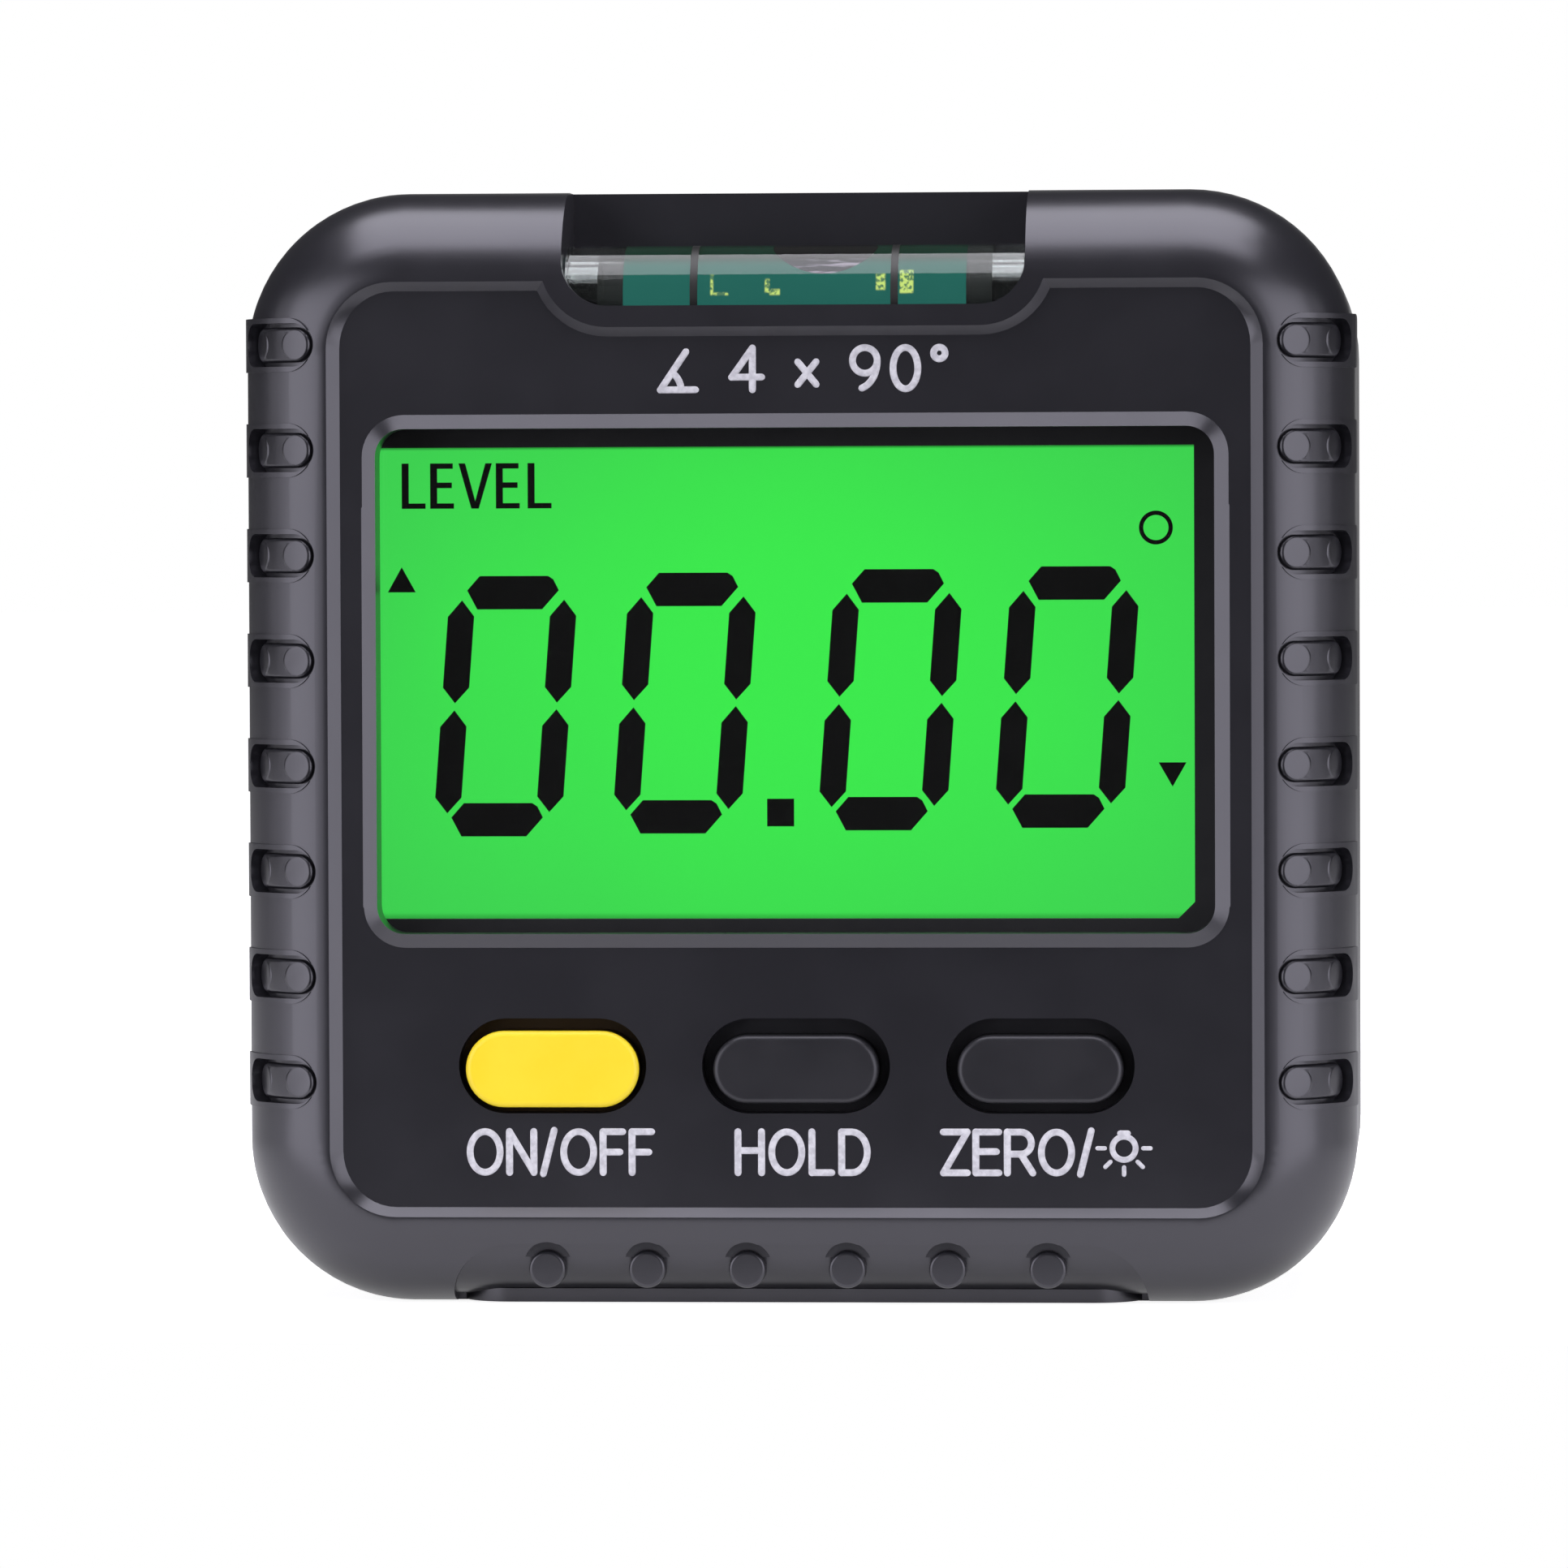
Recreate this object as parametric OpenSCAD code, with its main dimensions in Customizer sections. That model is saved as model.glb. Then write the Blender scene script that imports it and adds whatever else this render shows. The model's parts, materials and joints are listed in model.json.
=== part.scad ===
// Pocket digital angle gauge: lit display, three keys, bubble vial, magnets in a flat base.
// It stands on the base at z = 0 with the front towards -Y. All sizes are in millimetres.

/* [Case] */
// Width of the case seen from the front
body_w = 54; // [48:0.5:62]
// Height of the case above its base
body_h = 54; // [48:0.5:62]
// Depth from the front land to the back face
depth = 24; // [21:0.25:28]
// Radius of the four corners seen from the front
corner_r = 8; // [7:0.25:8.5]
// Radius of the rounded bezel
bezel_r = 5; // [4.75:0.05:5.5]
// Width of the rounded bezel seen from the front
bezel_w = 4.15; // [4:0.05:4.3]
// Radius of the back edge
back_r = 2; // [1:0.1:2.5]
// Wall thickness of the front shell
wall = 1.8; // [1.6:0.05:1.9]
// Depth of the rear shell
rear_depth = 7; // [6.5:0.25:7.5]
// Thickness of the locating lip on the rear shell
lip_t = 0.9; // [0.7:0.05:0.9]
// Height of the locating lip
lip_h = 1.2; // [0.8:0.1:1.4]
// Clearance between shells and between seated pieces
fit = 0.1; // [0.05:0.01:0.12]
// Distance from the sides of the case to the middle of its screws
screw_inset = 6.4; // [6.2:0.1:7]

/* [Front panel] */
// Distance from the side of the case to the panel edge
panel_inset = 4.4; // [4.35:0.05:4.6]
// Corner radius of the panel
panel_r = 3.2; // [2.5:0.1:4]
// Depth of the panel below the front land
panel_drop = 0.45; // [0.4:0.01:0.5]
// Thickness of the front wall behind the panel
front_wall = 1.6; // [1.4:0.05:1.7]

/* [Vial] */
// Width of the vial slot
slot_w = 22.4; // [20:0.1:24]
// Distance from the top of the case to the slot floor
slot_drop = 5.6; // [5.4:0.05:5.8]
// Depth of the slot from the front land
slot_depth = 6.8; // [6.4:0.1:7]
// Radius of the lower corners of the slot
slot_r = 2.2; // [1.5:0.1:2.4]
// Width of the raised apron round the slot
apron_w = 1.03; // [0.8:0.01:1.1]
// Outer radius of the vial tube
tube_r = 2.55; // [2.4:0.05:2.6]
// Wall of the vial tube
tube_wall = 0.65; // [0.55:0.05:0.7]
// Distance from the top of the case to the tube axis
tube_drop = 5.2; // [5.1:0.05:5.25]
// Distance from the front land to the tube axis
tube_set = 3.4; // [3.3:0.05:3.6]
// Thickness of the floor below the tube
trough_floor = 1.1; // [0.9:0.05:1.15]
// Distance between the two marker rings
ring_span = 9.7; // [8:0.1:11]
// Width of a marker ring
ring_w = 0.36; // [0.25:0.01:0.5]
// Depth of the groove that a marker ring sits in
ring_t = 0.15; // [0.12:0.01:0.2]
// Length of a clear end cap
cap_l = 1.55; // [1.2:0.05:2]
// Length of a dark plug
plug_l = 1.25; // [1:0.05:1.4]
// Radius of the surface of the bubble
bubble_r = 3.05; // [2.8:0.05:3.2]
// Place of the bubble along the tube
bubble_x = 1.4; // [-2:0.1:2]

/* [Display] */
// Distance from the panel edge to the display opening at each side
view_side = 2.35; // [2.3:0.05:3]
// Clearance between the key flanges and the display pocket
pocket_gap = 0.3; // [0.2:0.05:0.6]
// Distance from the top of the case to the display opening
view_drop = 11.5; // [11.3:0.05:11.6]
// Corner radius of the display opening
view_r = 1.35; // [1:0.05:1.8]
// Width of the sloped frame round the opening
frame_w = 0.72; // [0.6:0.02:0.8]
// Height of the sloped frame above the panel
frame_h = 0.37; // [0.3:0.01:0.4]
// Width of the narrow ledge along each side of the frame
ledge_w = 0.2; // [0.1:0.05:0.3]
// Height of the ledge above the panel
ledge_h = 0.15; // [0.1:0.01:0.18]
// Distance from the lower edge of the opening to the end of the ledge
ledge_low = 1.5; // [1:0.1:4]
// Distance from the upper edge of the opening to the end of the ledge
ledge_top = 4; // [2:0.1:6]
// Width of the dark border at each side of a centred lit area
lit_side = 0.42; // [0.4:0.02:1.2]
// Height of the dark border above and below the lit area
lit_edge = 0.75; // [0.6:0.05:1.2]
// Sideways offset of the lit area
lit_shift = -0.62; // [-0.7:0.02:0]
// How far the lit area sits below the middle of the opening
lit_sag = 0.14; // [0:0.02:0.2]
// Cut corner of the lit area
lit_cut = 0.8; // [0.5:0.1:1.2]
// Cover of the display glass beyond the opening at each side
glass_side = 1.35; // [1.2:0.05:1.4]
// Cover of the display glass above the opening
glass_top = 1.25; // [1:0.05:1.3]
// Cover of the display glass below the opening
glass_below = 2.3; // [2.2:0.05:2.35]
// Thickness of the window
lens_t = 1; // [0.9:0.05:1.1]
// Thickness of the gasket
gasket_t = 0.4; // [0.3:0.05:0.5]
// Thickness of the display glass
lcd_t = 1.8; // [1.7:0.05:1.9]
// Thickness of the backlight
light_t = 2.2; // [2:0.05:2.3]
// Thickness of the display pocket walls
rim_t = 0.9; // [0.7:0.05:0.95]
// Height of the connector strip along the lower edge of the display
strip_h = 2; // [1.6:0.1:2.1]

/* [Keys] */
// Distance between neighbouring keys
key_pitch = 11.8; // [11.4:0.1:12]
// Height of the key wells above the base
key_z = 11.7; // [11.55:0.05:11.75]
// Width of a key well
well_w = 9.1; // [8.9:0.05:9.2]
// Height of a key well
well_h = 4.6; // [4.4:0.05:4.65]
// Width of the hold and zero keys
key_w = 8; // [7.6:0.05:8.2]
// Height of the hold and zero keys
key_h = 3.3; // [3.1:0.05:3.6]
// Width of the on and off key
power_w = 8.4; // [8:0.05:8.5]
// Height of the on and off key
power_h = 3.7; // [3.4:0.05:3.8]
// How far the keys sit below the middle of their wells
key_sag = 0.15; // [0:0.01:0.18]
// How far the keys stand above the panel
key_proud = 0.35; // [0.2:0.01:0.45]
// Radius of the edge of a key
key_edge = 0.28; // [0.2:0.01:0.35]
// Thickness of the flange behind the wall
flange_t = 0.9; // [0.8:0.05:1]
// Reach of the flange past the well
flange_over = 0.5; // [0.4:0.05:0.55]
// Travel of a key
key_travel = 0.3; // [0.2:0.05:0.35]
// Radius of the stem of a key
stem_r = 1.2; // [1:0.05:1.4]

/* [Grip ribs] */
// Least distance from the top of the case to the highest rib
rib_last = 7.2; // [7:0.1:12]
// Distance between neighbouring ribs
rib_pitch = 5.1; // [4.8:0.02:5.1]
// Height of the lowest rib above the base
rib_first = 10.9; // [10.5:0.05:11.1]
// Width of a rib
rib_w = 1.7; // [1.5:0.05:1.8]
// Radius of the back of a rib
rib_r = 4.4; // [4.3:0.02:4.5]
// How far the axis of a rib lies in front of the axis of the bezel
rib_set = 0.62; // [0.5:0.02:0.68]
// Radius of the edge of a rib
rib_edge = 0.2; // [0.1:0.01:0.25]
// Angle round the bezel where a rib begins
rib_start = 30; // [29:0.5:34]
// Angle round the bezel where a rib ends
rib_end = 66; // [60:0.5:68]
// Width of the groove round a rib
rib_groove = 0.2; // [0.12:0.01:0.25]
// Depth of the groove below the back of a rib
rib_sink = 0.3; // [0.2:0.02:0.4]
// Width of the raised lip round the groove
rib_lip_w = 0.25; // [0.2:0.01:0.3]
// How far the lip stands above the bezel
rib_lip_h = 0.08; // [0.04:0.01:0.1]
// Angle round the bezel where the lip ends
rib_lip_end = 80; // [76:0.5:82]

/* [Foot scoop] */
// Width of the scoop in the lower bezel
scoop_w = 33.8; // [30:0.1:36]
// Height of the scoop
scoop_h = 3.06; // [2.9:0.02:3.2]
// Radius of the ends of the scoop
scoop_r = 3; // [2.5:0.1:3.5]
// Depth of the scoop
scoop_depth = 0.35; // [0.25:0.01:0.4]
// Height of the toe along the base
toe_h = 0.7; // [0.6:0.02:0.8]
// Number of pegs in the scoop
peg_count = 6; // [4:1:6]
// Distance between neighbouring pegs
peg_pitch = 4.85; // [4.2:0.05:5]
// Diameter of a peg
peg_d = 1.8; // [1.5:0.05:1.85]
// Width of the clear space round a peg
moat_w = 0.25; // [0.2:0.01:0.3]
// Height of the pegs above the base
peg_z = 1.83; // [1.8:0.01:1.86]

/* [Battery] */
// Gap between the battery bay and the side walls of the case
bay_gap = 0.3; // [0.2:0.05:1]
// Gap between the battery bay and the circuit board
back_gap = 1.45; // [1.3:0.05:2]
// Play of a cell towards the door
door_play = 0.2; // [0.15:0.05:0.4]
// Play of a cell towards the floor of the bay
floor_play = 0.15; // [0.1:0.05:0.3]
// Length of the nub of a cell
nub_l = 1; // [0.8:0.05:1.2]
// Diameter of the nub of a cell
nub_d = 3.8; // [3.4:0.1:4.2]
// Gap between the two cells
cell_gap = 0.4; // [0.2:0.05:0.6]
// Height of the middle of the battery bay above the base
bay_z = 25; // [24.5:0.1:25.5]
// Thickness of the walls of the battery bay
bay_wall = 0.9; // [0.8:0.05:0.95]
// Thickness of the battery door and of the back wall
door_t = 2; // [1.9:0.05:2.1]
// Gap round the battery door
door_gap = 0.15; // [0.12:0.01:0.2]
// Diameter of the hinge pins of the door
pin_d = 1; // [0.8:0.05:1.1]
// Length of the hinge pins of the door
pin_l = 0.7; // [0.5:0.05:0.8]
// Thickness of a contact plate
plate_t = 0.4; // [0.3:0.05:0.45]
// Side of a contact plate
plate_w = 8; // [6:0.25:8]
// Width of the tail of a contact plate
tail_w = 2; // [1.5:0.1:2.2]
// Length of a contact spring with the cells in
spring_l = 2.7; // [2.5:0.05:2.8]
// Radius of a contact spring
spring_r = 2.6; // [2.2:0.05:3]
// Diameter of the spring wire
spring_wire = 0.6; // [0.5:0.05:0.65]

/* [Magnets] */
// Diameter of a base magnet
magnet_d = 8; // [6:0.25:8.5]
// Thickness of a base magnet
magnet_t = 2.5; // [2:0.1:3]
// Sideways place of the magnets
magnet_x = 12; // [10:0.25:13]
// Distance from the back face to the magnets
magnet_f = 13.5; // [13.3:0.1:13.8]
// How far the magnets sit above the base plane
magnet_lift = 0.1; // [0.05:0.01:0.2]

/* [Board and screws] */
// Thickness of the circuit board
board_t = 1.2; // [1:0.05:1.25]
// Gap between the backlight and the board
board_gap = 0.15; // [0.1:0.01:0.2]
// Gap between the board and the side walls of the case
board_side = 0.6; // [0.4:0.05:1]
// Reach of the board past the switches and the screw posts
board_edge = 0.1; // [0.05:0.05:0.3]
// Length of the microcontroller
mcu_w = 7; // [5:0.25:7]
// Height of the microcontroller
mcu_h = 6; // [5:0.25:7]
// Sideways place of the microcontroller
mcu_x = 8; // [7:0.25:12]
// Side of the tilt sensor
sensor_w = 3; // [2:0.25:4]
// Thickness of the chips
chip_t = 1; // [0.8:0.05:1.2]
// Length of a small component
part_w = 2; // [1.6:0.1:2.2]
// Height of a small component
part_h = 1.2; // [0.8:0.1:1.3]
// Thickness of a small component
part_t = 0.8; // [0.5:0.05:1]
// Distance between small components
part_pitch = 3; // [2.6:0.1:3.4]
// Height of a switch body
switch_h = 2; // [1.8:0.05:2.1]
// Side of a switch body
switch_w = 4.5; // [4:0.1:4.5]
// Radius of a switch plunger
plunger_r = 1; // [0.8:0.05:1.1]
// Diameter of the case screws
screw_d = 2.2; // [2:0.05:2.3]
// Head diameter of the case screws
head_d = 3.8; // [3.4:0.05:4]
// Head height of the case screws
head_h = 1.5; // [1.3:0.05:1.6]
// Length of the cross slot in the case screws
cross_l = 2.2; // [1.8:0.1:2.4]
// Width of the cross slot in the case screws
cross_w = 0.5; // [0.4:0.05:0.6]
// Depth of the cross slot in the case screws
cross_d = 0.8; // [0.5:0.05:1]
// Reach of the case screws into the front shell
screw_bite = 7.4; // [6:0.1:7.6]
// Diameter of the board screws
board_screw_d = 1.6; // [1.4:0.05:1.7]
// Head height of the board screws
board_head_h = 1; // [0.8:0.05:1.2]
// Reach of the head past the shank of the board screws
board_head_over = 0.7; // [0.5:0.05:0.8]
// Reach of the board screws into the front shell
board_bite = 3.5; // [2.5:0.1:4]
// Sideways place of the board screws
board_screw_x = 19.4; // [19.2:0.05:19.6]

/* [Hidden] */
$fn = 96;
eps = 0.02;

// Depths are measured forward from the back face and heights up from the base.
mid_h = body_h / 2;
bezel_over = bezel_r - sqrt(pow(bezel_r, 2) - pow(bezel_r - bezel_w, 2));
arc_f = depth + bezel_over - bezel_r;
arc_x = body_w / 2 - bezel_r;

panel_f = depth - panel_drop;
wall_f = panel_f - front_wall;
cave_step = 1.2;
cave_f = wall_f - 1.5;

slot_z = body_h - slot_drop;
slot_f = depth - slot_depth;
tube_z = body_h - tube_drop;
tube_f = depth - tube_set;
bore_r = tube_r - tube_wall;
tube_l = slot_w - 2 * fit;
liquid_l = tube_l - 2 * (plug_l + cap_l);
block_x = slot_w / 2 + 2;
block_f = slot_f - 1.4;
block_z = tube_z - tube_r - fit - trough_floor;
bubble_z = tube_z + bore_r + bubble_r - 1.35;

view_top = body_h - view_drop;
pocket_low = key_z + well_h / 2 + flange_over + pocket_gap;
view_low = pocket_low + rim_t + fit + glass_below;
view_w = body_w - 2 * (panel_inset + view_side);
view_h = view_top - view_low;
view_z = view_top - view_h / 2;
lit_w = view_w - 2 * lit_side;
lit_h = view_h - 2 * lit_edge;
lens_f = wall_f - lens_t;
gasket_f = lens_f - gasket_t;
lcd_f = gasket_f - lcd_t;
light_f = lcd_f - light_t;
board_f = light_f - board_gap;
board_back = board_f - board_t;
glass_w = view_w + 2 * glass_side;
glass_z0 = view_z - view_h / 2 - glass_below;
glass_h = view_h + glass_top + glass_below;
glass_z = glass_z0 + glass_h / 2;
pocket_w = glass_w + 2 * fit;
pocket_h = glass_h + 2 * fit;
light_h = glass_h - strip_h - 2 * fit - 0.4;
light_z = glass_z0 + glass_h - fit - light_h / 2;

key_f = panel_f + key_proud;
flange_f = wall_f - fit - flange_t;
plunger_f = board_f + switch_h + key_travel + 0.4;
press_z = key_z - key_sag;

screw_x = body_w / 2 - screw_inset;
screw_z0 = screw_inset;
screw_z1 = body_h - screw_inset;
post_r = screw_d / 2 + 1.5;
sink_d = head_d + 0.4;
seat_f = head_h + 0.9;
screw_tip = rear_depth + screw_bite;

board_x = body_w / 2 - wall - board_side;
board_z0 = press_z - switch_w / 2 - board_edge;
board_z1 = screw_z1 - post_r - 2 * board_edge;
board_screw_z = key_z;
board_screw_tip = board_f + board_bite;
boss_r = board_screw_d / 2 + 0.9;
prop_x = 17;
prop_z = board_z1 - 3.8;

bay_x = body_w / 2 - wall - bay_gap - bay_wall;
bay_f = board_back - back_gap - bay_wall;
cell_l = 2 * (bay_x - plate_t) - spring_l;
cell_d = bay_f - floor_play - door_play - door_t;
cell_pitch = cell_d + cell_gap;
cell_f = door_t + door_play + cell_d / 2;
bay_h = cell_pitch + cell_d + cell_gap;
door_w = cell_l + 1.6;
door_h = bay_h + 1.3;
hinge_r = door_t / 2;
hinge_z = bay_z - door_h / 2 + hinge_r;
high_z = bay_z + cell_pitch / 2;
low_z = bay_z - cell_pitch / 2;

scoop_arc = bezel_r - scoop_depth;
toe_f = arc_f + sqrt(pow(scoop_arc, 2) - pow(bezel_r - toe_h, 2)) + 0.06;
toe_lift = 0.04;
peg_f = arc_f + sqrt(pow(scoop_arc, 2) - pow(bezel_r - peg_z - peg_d / 2, 2)) + 0.22;
moat_f = peg_f - 0.42;
moat_r = peg_d / 2 + moat_w;

rib_count = floor((body_h - rib_first - rib_last) / rib_pitch) + 1;

charcoal = [0.19, 0.185, 0.21];
dark = [0.13, 0.13, 0.14];
yellow = [0.98, 0.88, 0.22];
steel = [0.72, 0.73, 0.75];
clear = [0.85, 0.92, 0.92, 0.4];
green = [0.25, 0.86, 0.33];

// Turns the drawing frame (x right, y up, z forward) into the standing part.
module stand() {
    translate([0, depth / 2, 0])
        rotate([90, 0, 0])
            children();
}

// Puts a cylinder along x, centred on x = 0.
module along_x(l) {
    rotate([0, 90, 0])
        cylinder(h = l, r = $r, center = true);
}

// Rounded rectangle centred on the origin.
module round_rect(w, h, r) {
    square([w - 2 * r, h], center = true);
    square([w, h - 2 * r], center = true);
    for (sx = [-1, 1], sy = [-1, 1])
        translate([sx * (w / 2 - r), sy * (h / 2 - r)])
            circle(r);
}

// Pill outline centred on the origin.
module pill(w, h) {
    square([w - h, h], center = true);
    for (s = [-1, 1])
        translate([s * (w - h) / 2, 0])
            circle(h / 2);
}

// Straight prism between two depths.
module between(f0, f1) {
    translate([0, 0, f0])
        linear_extrude(height = f1 - f0)
            children();
}

// Carries a half section round the outline of the case. The section has the
// distance from the corner axis as its first axis and the depth as its second.
module round_case() {
    ax = body_w / 2 - corner_r;
    ay = mid_h - corner_r;
    corners = [[1, 1, 0], [-1, 1, 90], [-1, -1, 180], [1, -1, 270]];
    for (c = corners)
        translate([c[0] * ax, mid_h + c[1] * ay, 0])
            rotate([0, 0, c[2]])
                rotate_extrude(angle = 90)
                    children();
    for (s = [0, 180])
        translate([0, mid_h, 0])
            rotate([0, 0, s])
                translate([ax, 0, 0])
                    rotate([90, 0, 0])
                        linear_extrude(height = 2 * ay, center = true)
                            children();
    for (s = [90, 270])
        translate([0, mid_h, 0])
            rotate([0, 0, s])
                translate([ay, 0, 0])
                    rotate([90, 0, 0])
                        linear_extrude(height = 2 * ax, center = true)
                            children();
}

// Half section of the front shell, closed.
module front_section() {
    in_r = corner_r - bezel_r;
    intersection() {
        union() {
            translate([0, rear_depth])
                square([corner_r, arc_f - rear_depth]);
            translate([0, rear_depth])
                square([in_r, depth - rear_depth]);
            intersection() {
                translate([in_r, arc_f])
                    circle(bezel_r);
                translate([in_r, arc_f])
                    square([bezel_r, bezel_r]);
            }
        }
        translate([0, rear_depth])
            square([corner_r, depth - rear_depth]);
    }
}

// Half section of the rear shell, closed.
module rear_section() {
    in_r = corner_r - back_r;
    translate([0, back_r])
        square([corner_r, rear_depth - back_r]);
    square([in_r, rear_depth]);
    intersection() {
        translate([in_r, back_r])
            circle(back_r);
        translate([in_r, 0])
            square([back_r, back_r]);
    }
}

// Block that fills the middle of a swept case.
module case_core(f0, f1) {
    ax = body_w / 2 - corner_r;
    ay = mid_h - corner_r;
    translate([-ax, mid_h - ay, f0])
        cube([2 * ax, 2 * ay, f1 - f0]);
}

// Block with sloped sides on a rounded rectangle: corner axes at (px, py), radius
// r0 at depth f0 and r1 at depth f1.
module sloped_block(px, py, r0, r1, f0, f1) {
    t = f1 - f0;
    for (sx = [-1, 1], sy = [-1, 1])
        translate([sx * px, sy * py, f0])
            cylinder(h = t, r1 = r0, r2 = r1);
    rotate([90, 0, 0])
        linear_extrude(height = 2 * py, center = true)
            polygon([[-px - r0, f0], [px + r0, f0], [px + r1, f1], [-px - r1, f1]]);
    rotate([90, 0, 90])
        linear_extrude(height = 2 * px, center = true)
            polygon([[-py - r0, f0], [py + r0, f0], [py + r1, f1], [-py - r1, f1]]);
}

// Raised apron below and beside the vial slot, with its slope carried past the land.
module apron() {
    over = 0.3;
    r1 = slot_r + apron_w - over;
    r0 = slot_r + apron_w + panel_drop + over;
    px = slot_w / 2 - slot_r;
    f0 = panel_f - over;
    f1 = depth + over;
    translate([0, slot_z + slot_r, 0]) {
        for (s = [-1, 1])
            translate([s * px, 0, f0])
                cylinder(h = f1 - f0, r1 = r0, r2 = r1);
        rotate([90, 0, 90])
            linear_extrude(height = 2 * px, center = true)
                polygon([[-r0, f0], [2, f0], [2, f1], [-r1, f1]]);
    }
}

// Recess of the front panel, with its sloped edge and the apron left standing.
module panel_cut() {
    over = 0.2;
    px = body_w / 2 - panel_inset - panel_r;
    py = mid_h - panel_inset - panel_r;
    difference() {
        translate([0, mid_h, 0])
            sloped_block(px, py, panel_r - panel_drop, panel_r + over, panel_f, depth + over);
        apron();
    }
}

// Hollow of the front shell.
module front_hollow() {
    w0 = body_w - 2 * wall;
    h0 = body_h - 2 * wall;
    translate([0, mid_h, 0]) {
        between(rear_depth - 1, cave_f)
            round_rect(w0, h0, corner_r - wall);
        between(cave_f - eps, wall_f)
            round_rect(w0 - 2 * cave_step, h0 - 2 * cave_step, corner_r - wall - cave_step);
    }
}

// Slot for the vial, open at the front and the top, with a trough for the tube.
module vial_slot() {
    between(slot_f, depth + 1)
        union() {
            translate([0, slot_z + slot_r])
                pill(slot_w, 2 * slot_r);
            translate([-slot_w / 2, slot_z + slot_r])
                square([slot_w, slot_drop]);
        }
    translate([0, tube_z, tube_f])
        along_x(slot_w, $r = tube_r + fit);
    translate([-slot_w / 2, tube_z, slot_f])
        cube([slot_w, slot_drop, tube_f + tube_r + fit - slot_f]);
}

// Block that follows the bezel on the right side between two angles, with round ends.
module rib_path(r0, r1, half, last) {
    rotate([-90, 0, 0])
        rotate([0, 0, rib_start - 90])
            rotate_extrude(angle = last - rib_start)
                translate([r0, -half])
                    square([r1 - r0, 2 * half]);
    for (a = [rib_start, last])
        rotate([0, a, 0])
            translate([0, 0, r0])
                cylinder(h = r1 - r0, r = half);
}

// Raised lip that carries one rib, kept behind the land.
module rib_lip() {
    half = rib_w / 2 + rib_groove + rib_lip_w;
    intersection() {
        translate([arc_x, 0, arc_f]) {
            intersection() {
                rib_path(bezel_r - 0.6, bezel_r + 1, half, rib_lip_end);
                rotate([90, 0, 0])
                    cylinder(h = 4 * half, r = bezel_r + rib_lip_h, center = true);
            }
        }
        translate([arc_x, -2 * half, arc_f - 2])
            cube([2 * bezel_r, 4 * half, depth - arc_f + 2]);
    }
}

// Groove round one rib.
module rib_pocket() {
    translate([arc_x, 0, arc_f + rib_set])
        rib_path(rib_r - rib_sink, rib_r + 2, rib_w / 2 + rib_groove, rib_end);
}

// One rounded rib on the floor of its groove.
module rib() {
    foot = rib_r - rib_sink - 0.2;
    half = rib_w / 2;
    translate([arc_x, 0, arc_f + rib_set]) {
        rotate([-90, 0, 0])
            rotate([0, 0, rib_start - 90])
                rotate_extrude(angle = rib_end - rib_start)
                    rib_section(foot, rib_r, half);
        for (a = [rib_start, rib_end])
            rotate([0, a, 0])
                rotate_extrude()
                    intersection() {
                        rotate([0, 0, 90])
                            rib_section(foot, rib_r, half);
                        translate([0, foot])
                            square([half, rib_r - foot]);
                    }
    }
}

// Cross section of a rib, rounded along its upper edges.
module rib_section(foot, top, half) {
    translate([foot, -half])
        square([top - foot - rib_edge, 2 * half]);
    translate([foot, rib_edge - half])
        square([top - foot, 2 * (half - rib_edge)]);
    for (s = [-1, 1])
        translate([top - rib_edge, s * (half - rib_edge)])
            circle(rib_edge);
}

// Repeats children along both sides.
module rib_rows() {
    for (m = [0, 1])
        mirror([m, 0, 0])
            for (i = [0 : rib_count - 1])
                translate([0, rib_first + i * rib_pitch, 0])
                    children();
}

// Narrow ledges along the two sides of the display frame.
module frame_ledges() {
    x0 = view_w / 2 + frame_w / 2;
    x1 = view_w / 2 + frame_w + ledge_w;
    z0 = view_low + ledge_low;
    z1 = view_top - ledge_top;
    slant = x1 - x0;
    for (m = [0, 1])
        mirror([m, 0, 0])
            between(panel_f - eps, panel_f + ledge_h)
                polygon([[x0, z0 - slant], [x1, z0], [x1, z1], [x0, z1 + slant]]);
}

// Outline of the scoop seen from the front.
module scoop_outline() {
    half = scoop_w / 2;
    translate([scoop_r - half, -1])
        square([2 * (half - scoop_r), scoop_h + 1]);
    translate([-half, -1])
        square([scoop_w, scoop_h - scoop_r + 1]);
    for (s = [-1, 1])
        translate([s * (half - scoop_r), scoop_h - scoop_r])
            circle(scoop_r);
}

// Shallow recess that follows the lower bezel.
module scoop_cut() {
    difference() {
        between(arc_f - 1, depth + 1)
            scoop_outline();
        translate([0, bezel_r, arc_f])
            along_x(scoop_w + 4, $r = scoop_arc);
        translate([0, 0, arc_f - 2])
            cube([scoop_w + 4, 20, 4], center = true);
    }
    for (i = [0 : peg_count - 1])
        translate([(i - (peg_count - 1) / 2) * peg_pitch, peg_z + 0.2, moat_f])
            cylinder(h = 3, r = moat_r);
}

// Straight toe that carries the base forward under the scoop.
module scoop_toe() {
    r = toe_f - arc_f + 0.6;
    half = scoop_w / 2 - 0.3;
    translate([0, toe_lift, 0])
        rotate([-90, 0, 0])
            linear_extrude(height = toe_h - toe_lift)
                translate([0, 0.6 - arc_f])
                    union() {
                        translate([r - half, -r])
                            square([2 * (half - r), r + 0.4]);
                        for (s = [-1, 1])
                            intersection() {
                                translate([s * (half - r), 0])
                                    circle(r);
                                translate([-half - 1, -r])
                                    square([2 * half + 2, r + 0.4]);
                            }
                    }
}

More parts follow.
